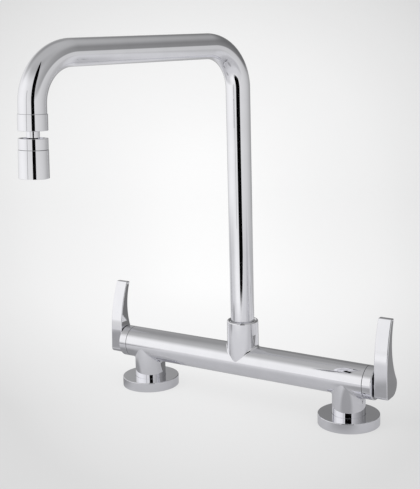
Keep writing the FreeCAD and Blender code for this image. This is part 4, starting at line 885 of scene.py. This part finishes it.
def room_share(shader, x, y):
    """The share of a turn in which a place or a direction lies."""
    ahead = shader.math("ADD", shader.math("MULTIPLY", x, math.sin(ROOM_TURN)),
                        shader.math("MULTIPLY", y, -math.cos(ROOM_TURN)))
    right = shader.math("ADD", shader.math("MULTIPLY", x, math.cos(ROOM_TURN)),
                        shader.math("MULTIPLY", y, math.sin(ROOM_TURN)))
    return shader.spread(shader.math("ARCTAN2", right, ahead), -math.pi, math.pi, smooth=False)


def studio_world():
    """A room that is plain for the camera and for soft light, and has walls and a ceiling in mirrors."""
    world = bpy.data.worlds.new("studio")
    bpy.context.scene.world = world
    world.use_nodes = True
    shader = Shader(world.node_tree)
    way = shader.parts(shader.node("ShaderNodeTexCoord").outputs["Generated"])
    share = room_share(shader, way[0], way[1])
    rise = shader.math("DEGREES", shader.math("ARCSINE", way[2]))
    ceiling = shader.blend(shader.spread(rise, *CEILING_FROM), shader.ramp(share, OVERHEAD), CEILING)
    wall_end = shader.spread(share, *WALL_END)
    above = shader.spread(shader.math("SUBTRACT", rise, wall_end), *WALL_FADE)
    low = shader.blend(shader.spread(rise, *WALL_FROM), shader.ramp(share, HORIZON), shader.ramp(share, WALL))
    plain = shader.blend(shader.rays()["Is Camera Ray"], CAMERA_ROOM, SOFT_ROOM)
    colour = shader.blend(shader.mirrors(), plain, shader.blend(above, low, ceiling))
    background = shader.node("ShaderNodeBackground", {"Color": colour, "Strength": 1.0})
    shader.node("ShaderNodeOutputWorld", {"Surface": background.outputs[0]})


def flat_mesh(name, corners, faces, material):
    """A thing of the studio, made of flat faces."""
    mesh = bpy.data.meshes.new(name)
    mesh.from_pydata(corners, [], faces)
    mesh.materials.append(material)
    thing = bpy.data.objects.new(name, mesh)
    bpy.context.scene.collection.objects.link(thing)
    return thing


def mirrored_floor(shader, place):
    """The floor as mirrors see it: a darker grey near the tap as painted shade, the colours of the room far
    from it.
    """
    parts = shader.parts(place)
    share = room_share(shader, parts[0], parts[1])
    distance = shader.vector("LENGTH", place)
    from_bridge = shader.math("ABSOLUTE", parts[1])
    near = shader.blend(shader.spread(from_bridge, *FARTHER_FROM), PAINTED_SHADE_BESIDE_BRIDGE, FARTHER_OUT)
    for x, y, inner, outer, tone in SHADED:
        spot = shader.spread(shader.vector("DISTANCE", place, (x, y, 0.0)), outer, inner)
        near = shader.blend(spot, near, grey(tone, 1.02))
    level = shader.blend(shader.spread(from_bridge, *TABLE_FROM), near, shader.ramp(share, TABLE))
    level = shader.blend(shader.spread(distance, *HORIZON_FROM), level, shader.ramp(share, HORIZON))
    glowing = shader.spread(distance, *FLOOR_GLOW)
    return shader.mix(glowing, shader.card(level), shader.glow(level))


def stage_finish(name, mirrored):
    """Pale card: a pool of light in the middle of the picture, keeping the tap's soft shadow."""
    material, shader = new_finish(name)
    place = shader.place()
    away = shader.vector("DOT_PRODUCT", place, AWAY)
    across = shader.vector("DOT_PRODUCT", place, ACROSS)
    width = shader.math("MAXIMUM", shader.spread(away, *POOL_WIDTH, smooth=False), POOL_LEAST_WIDTH)
    sideways = shader.math("ADD", shader.math("DIVIDE", across, width), POOL_SHIFT)
    nearer = shader.math("DIVIDE", shader.math("SUBTRACT", POOL_MIDDLE, away), POOL_LENGTH)
    higher = shader.math("DIVIDE", shader.parts(place)[2], POOL_HEIGHT)
    outward = shader.math("MAXIMUM", nearer, higher)
    joined = shader.node("ShaderNodeCombineXYZ", {0: sideways, 1: outward}).outputs[0]
    far = shader.spread(shader.vector("LENGTH", joined), 0.0, POOL_END, smooth=False)
    pale = shader.ramp(far, POOL)
    card = shader.card(pale)
    for_camera = shader.mix(POOL_GLOW, card, shader.glow(pale))
    seen = shader.mix(shader.rays()["Is Camera Ray"], card, for_camera)
    if mirrored:
        seen = shader.mix(shader.mirrors(), seen, mirrored_floor(shader, place))
    shader.surface(seen)
    return material


def strip_finish(name, level, seen_within):
    """A strip that glows at one plain level, slightly clouded, though it is no lamp; mirrors within its range
    see it.
    """
    material, shader = new_finish(name)
    cloud = shader.ramp(grain(shader, 12.0), [(0.3, level * 0.94), (0.7, level * 1.06)])
    out_of_range = shader.math("GREATER_THAN", shader.rays()["Ray Length"], seen_within)
    shader.surface(shader.mix(out_of_range, shader.glow(cloud), shader.clear()))
    return material


def flag_finish():
    """Black cloth that fades in with the distance from the tap."""
    material, shader = new_finish("black_cloth")
    cloth = shader.node("ShaderNodeBsdfPrincipled", {
        "Base Color": shader.ramp(grain(shader, 40.0), [(0.3, 0.001), (0.7, 0.004)]), "Roughness": 0.95,
        "Specular IOR Level": 0.0}).outputs[0]
    distance = shader.vector("LENGTH", shader.place())
    shader.surface(shader.mix(shader.spread(distance, *FLAG_FADE), shader.clear(), cloth))
    return material


def studio_stage():
    """Floor, a backdrop that only the camera sees, and the flags that draw the dark streaks."""
    corners = [AWAY * away + ACROSS * across for away, across in (
        (-STAGE_REACH, -STAGE_REACH), (-STAGE_REACH, STAGE_REACH),
        (BACKDROP_START, STAGE_REACH), (BACKDROP_START, -STAGE_REACH))]
    flat_mesh("floor", corners, [(0, 1, 2, 3)], stage_finish("floor_card", mirrored=True))
    rows = []
    for step in range(BACKDROP_STEPS + 1):
        angle = math.pi / 2 * step / BACKDROP_STEPS
        rows.append((BACKDROP_START + BACKDROP_BEND * math.sin(angle),
                     BACKDROP_BEND * (1 - math.cos(angle))))
    rows.append((BACKDROP_START + BACKDROP_BEND, BACKDROP_TOP))
    corners = []
    for away, height in rows:
        for across in (-STAGE_REACH, STAGE_REACH):
            corners.append(AWAY * away + ACROSS * across + Vector((0, 0, height)))
    faces = [(2 * row, 2 * row + 1, 2 * row + 3, 2 * row + 2) for row in range(len(rows) - 1)]
    backdrop = flat_mesh("backdrop", corners, faces, stage_finish("backdrop_card", mirrored=False))
    backdrop.data.shade_smooth()
    backdrop.visible_glossy = False

    left, right = FLAG_FEET
    top = Vector((0, 0, FLAG_TOP))
    lift = Vector((0, 0, LIFT))
    corners = [left, right, right + top, left + top, left * FLAG_APRON + lift, right * FLAG_APRON + lift]
    flags = [flat_mesh("black_flag", corners, [(0, 1, 2, 3), (4, 5, 1, 0)], flag_finish())]
    for name, start, end, level in STRIPS:
        corners = []
        for y, z in STRIP_PROFILE:
            corners += [(start, y, z), (end, y, z)]
        flags.append(flat_mesh(name + "_low_flag", corners, [(0, 1, 3, 2), (2, 3, 5, 4)],
                               strip_finish(name + "_grey_strip", level, STRIP_RANGE)))
    start, end, y, high = STAND
    corners = [(start, y, LIFT), (end, y, LIFT), (end, y, high), (start, y, high)]
    flags.append(flat_mesh("stand", corners, [(0, 1, 2, 3)],
                           strip_finish("stand_strip", STAND_LEVEL, STAND_RANGE)))
    for flag in flags:
        flag.visible_camera = False
        flag.visible_diffuse = False
        flag.visible_shadow = False
        flag.visible_transmission = False


def lamp(name, place, size, power):
    """A square lamp that looks at the tap and isn't seen in mirrors."""
    data = bpy.data.lights.new(name, "AREA")
    data.size = size
    data.energy = power
    thing = bpy.data.objects.new(name, data)
    bpy.context.scene.collection.objects.link(thing)
    thing.location = place
    thing.rotation_euler = (Vector(LAMP_TARGET) - Vector(place)).to_track_quat("-Z", "Y").to_euler()
    thing.visible_glossy = False


def camera():
    """The view of the photograph."""
    data = bpy.data.cameras.new("photo_camera")
    data.sensor_width = SENSOR
    data.lens = FOCAL_PIXELS * SENSOR / FRAME_HEIGHT_PIXELS
    data.clip_start = CLIP_START
    thing = bpy.data.objects.new("photo_camera", data)
    bpy.context.scene.collection.objects.link(thing)
    thing.matrix_world = (Matrix.Translation(CAMERA_PLACE)
                          @ Matrix.Rotation(HEADING, 4, "Z")
                          @ Matrix.Rotation(math.radians(90 + CAMERA_PITCH), 4, "X")
                          @ Matrix.Rotation(math.radians(CAMERA_ROLL), 4, "Z"))
    bpy.context.scene.camera = thing


dress_cad_nodes()
bridge_skin()
for name, side in SIDES.items():
    flange_skin(name, side)
    lever_skin(name, side)
spout_skin()
outlet_skins()
studio_world()
studio_stage()
for name, place, size, power in LAMPS:
    lamp(name, place, size, power)
camera()
bpy.context.scene.view_settings.view_transform = "Standard"
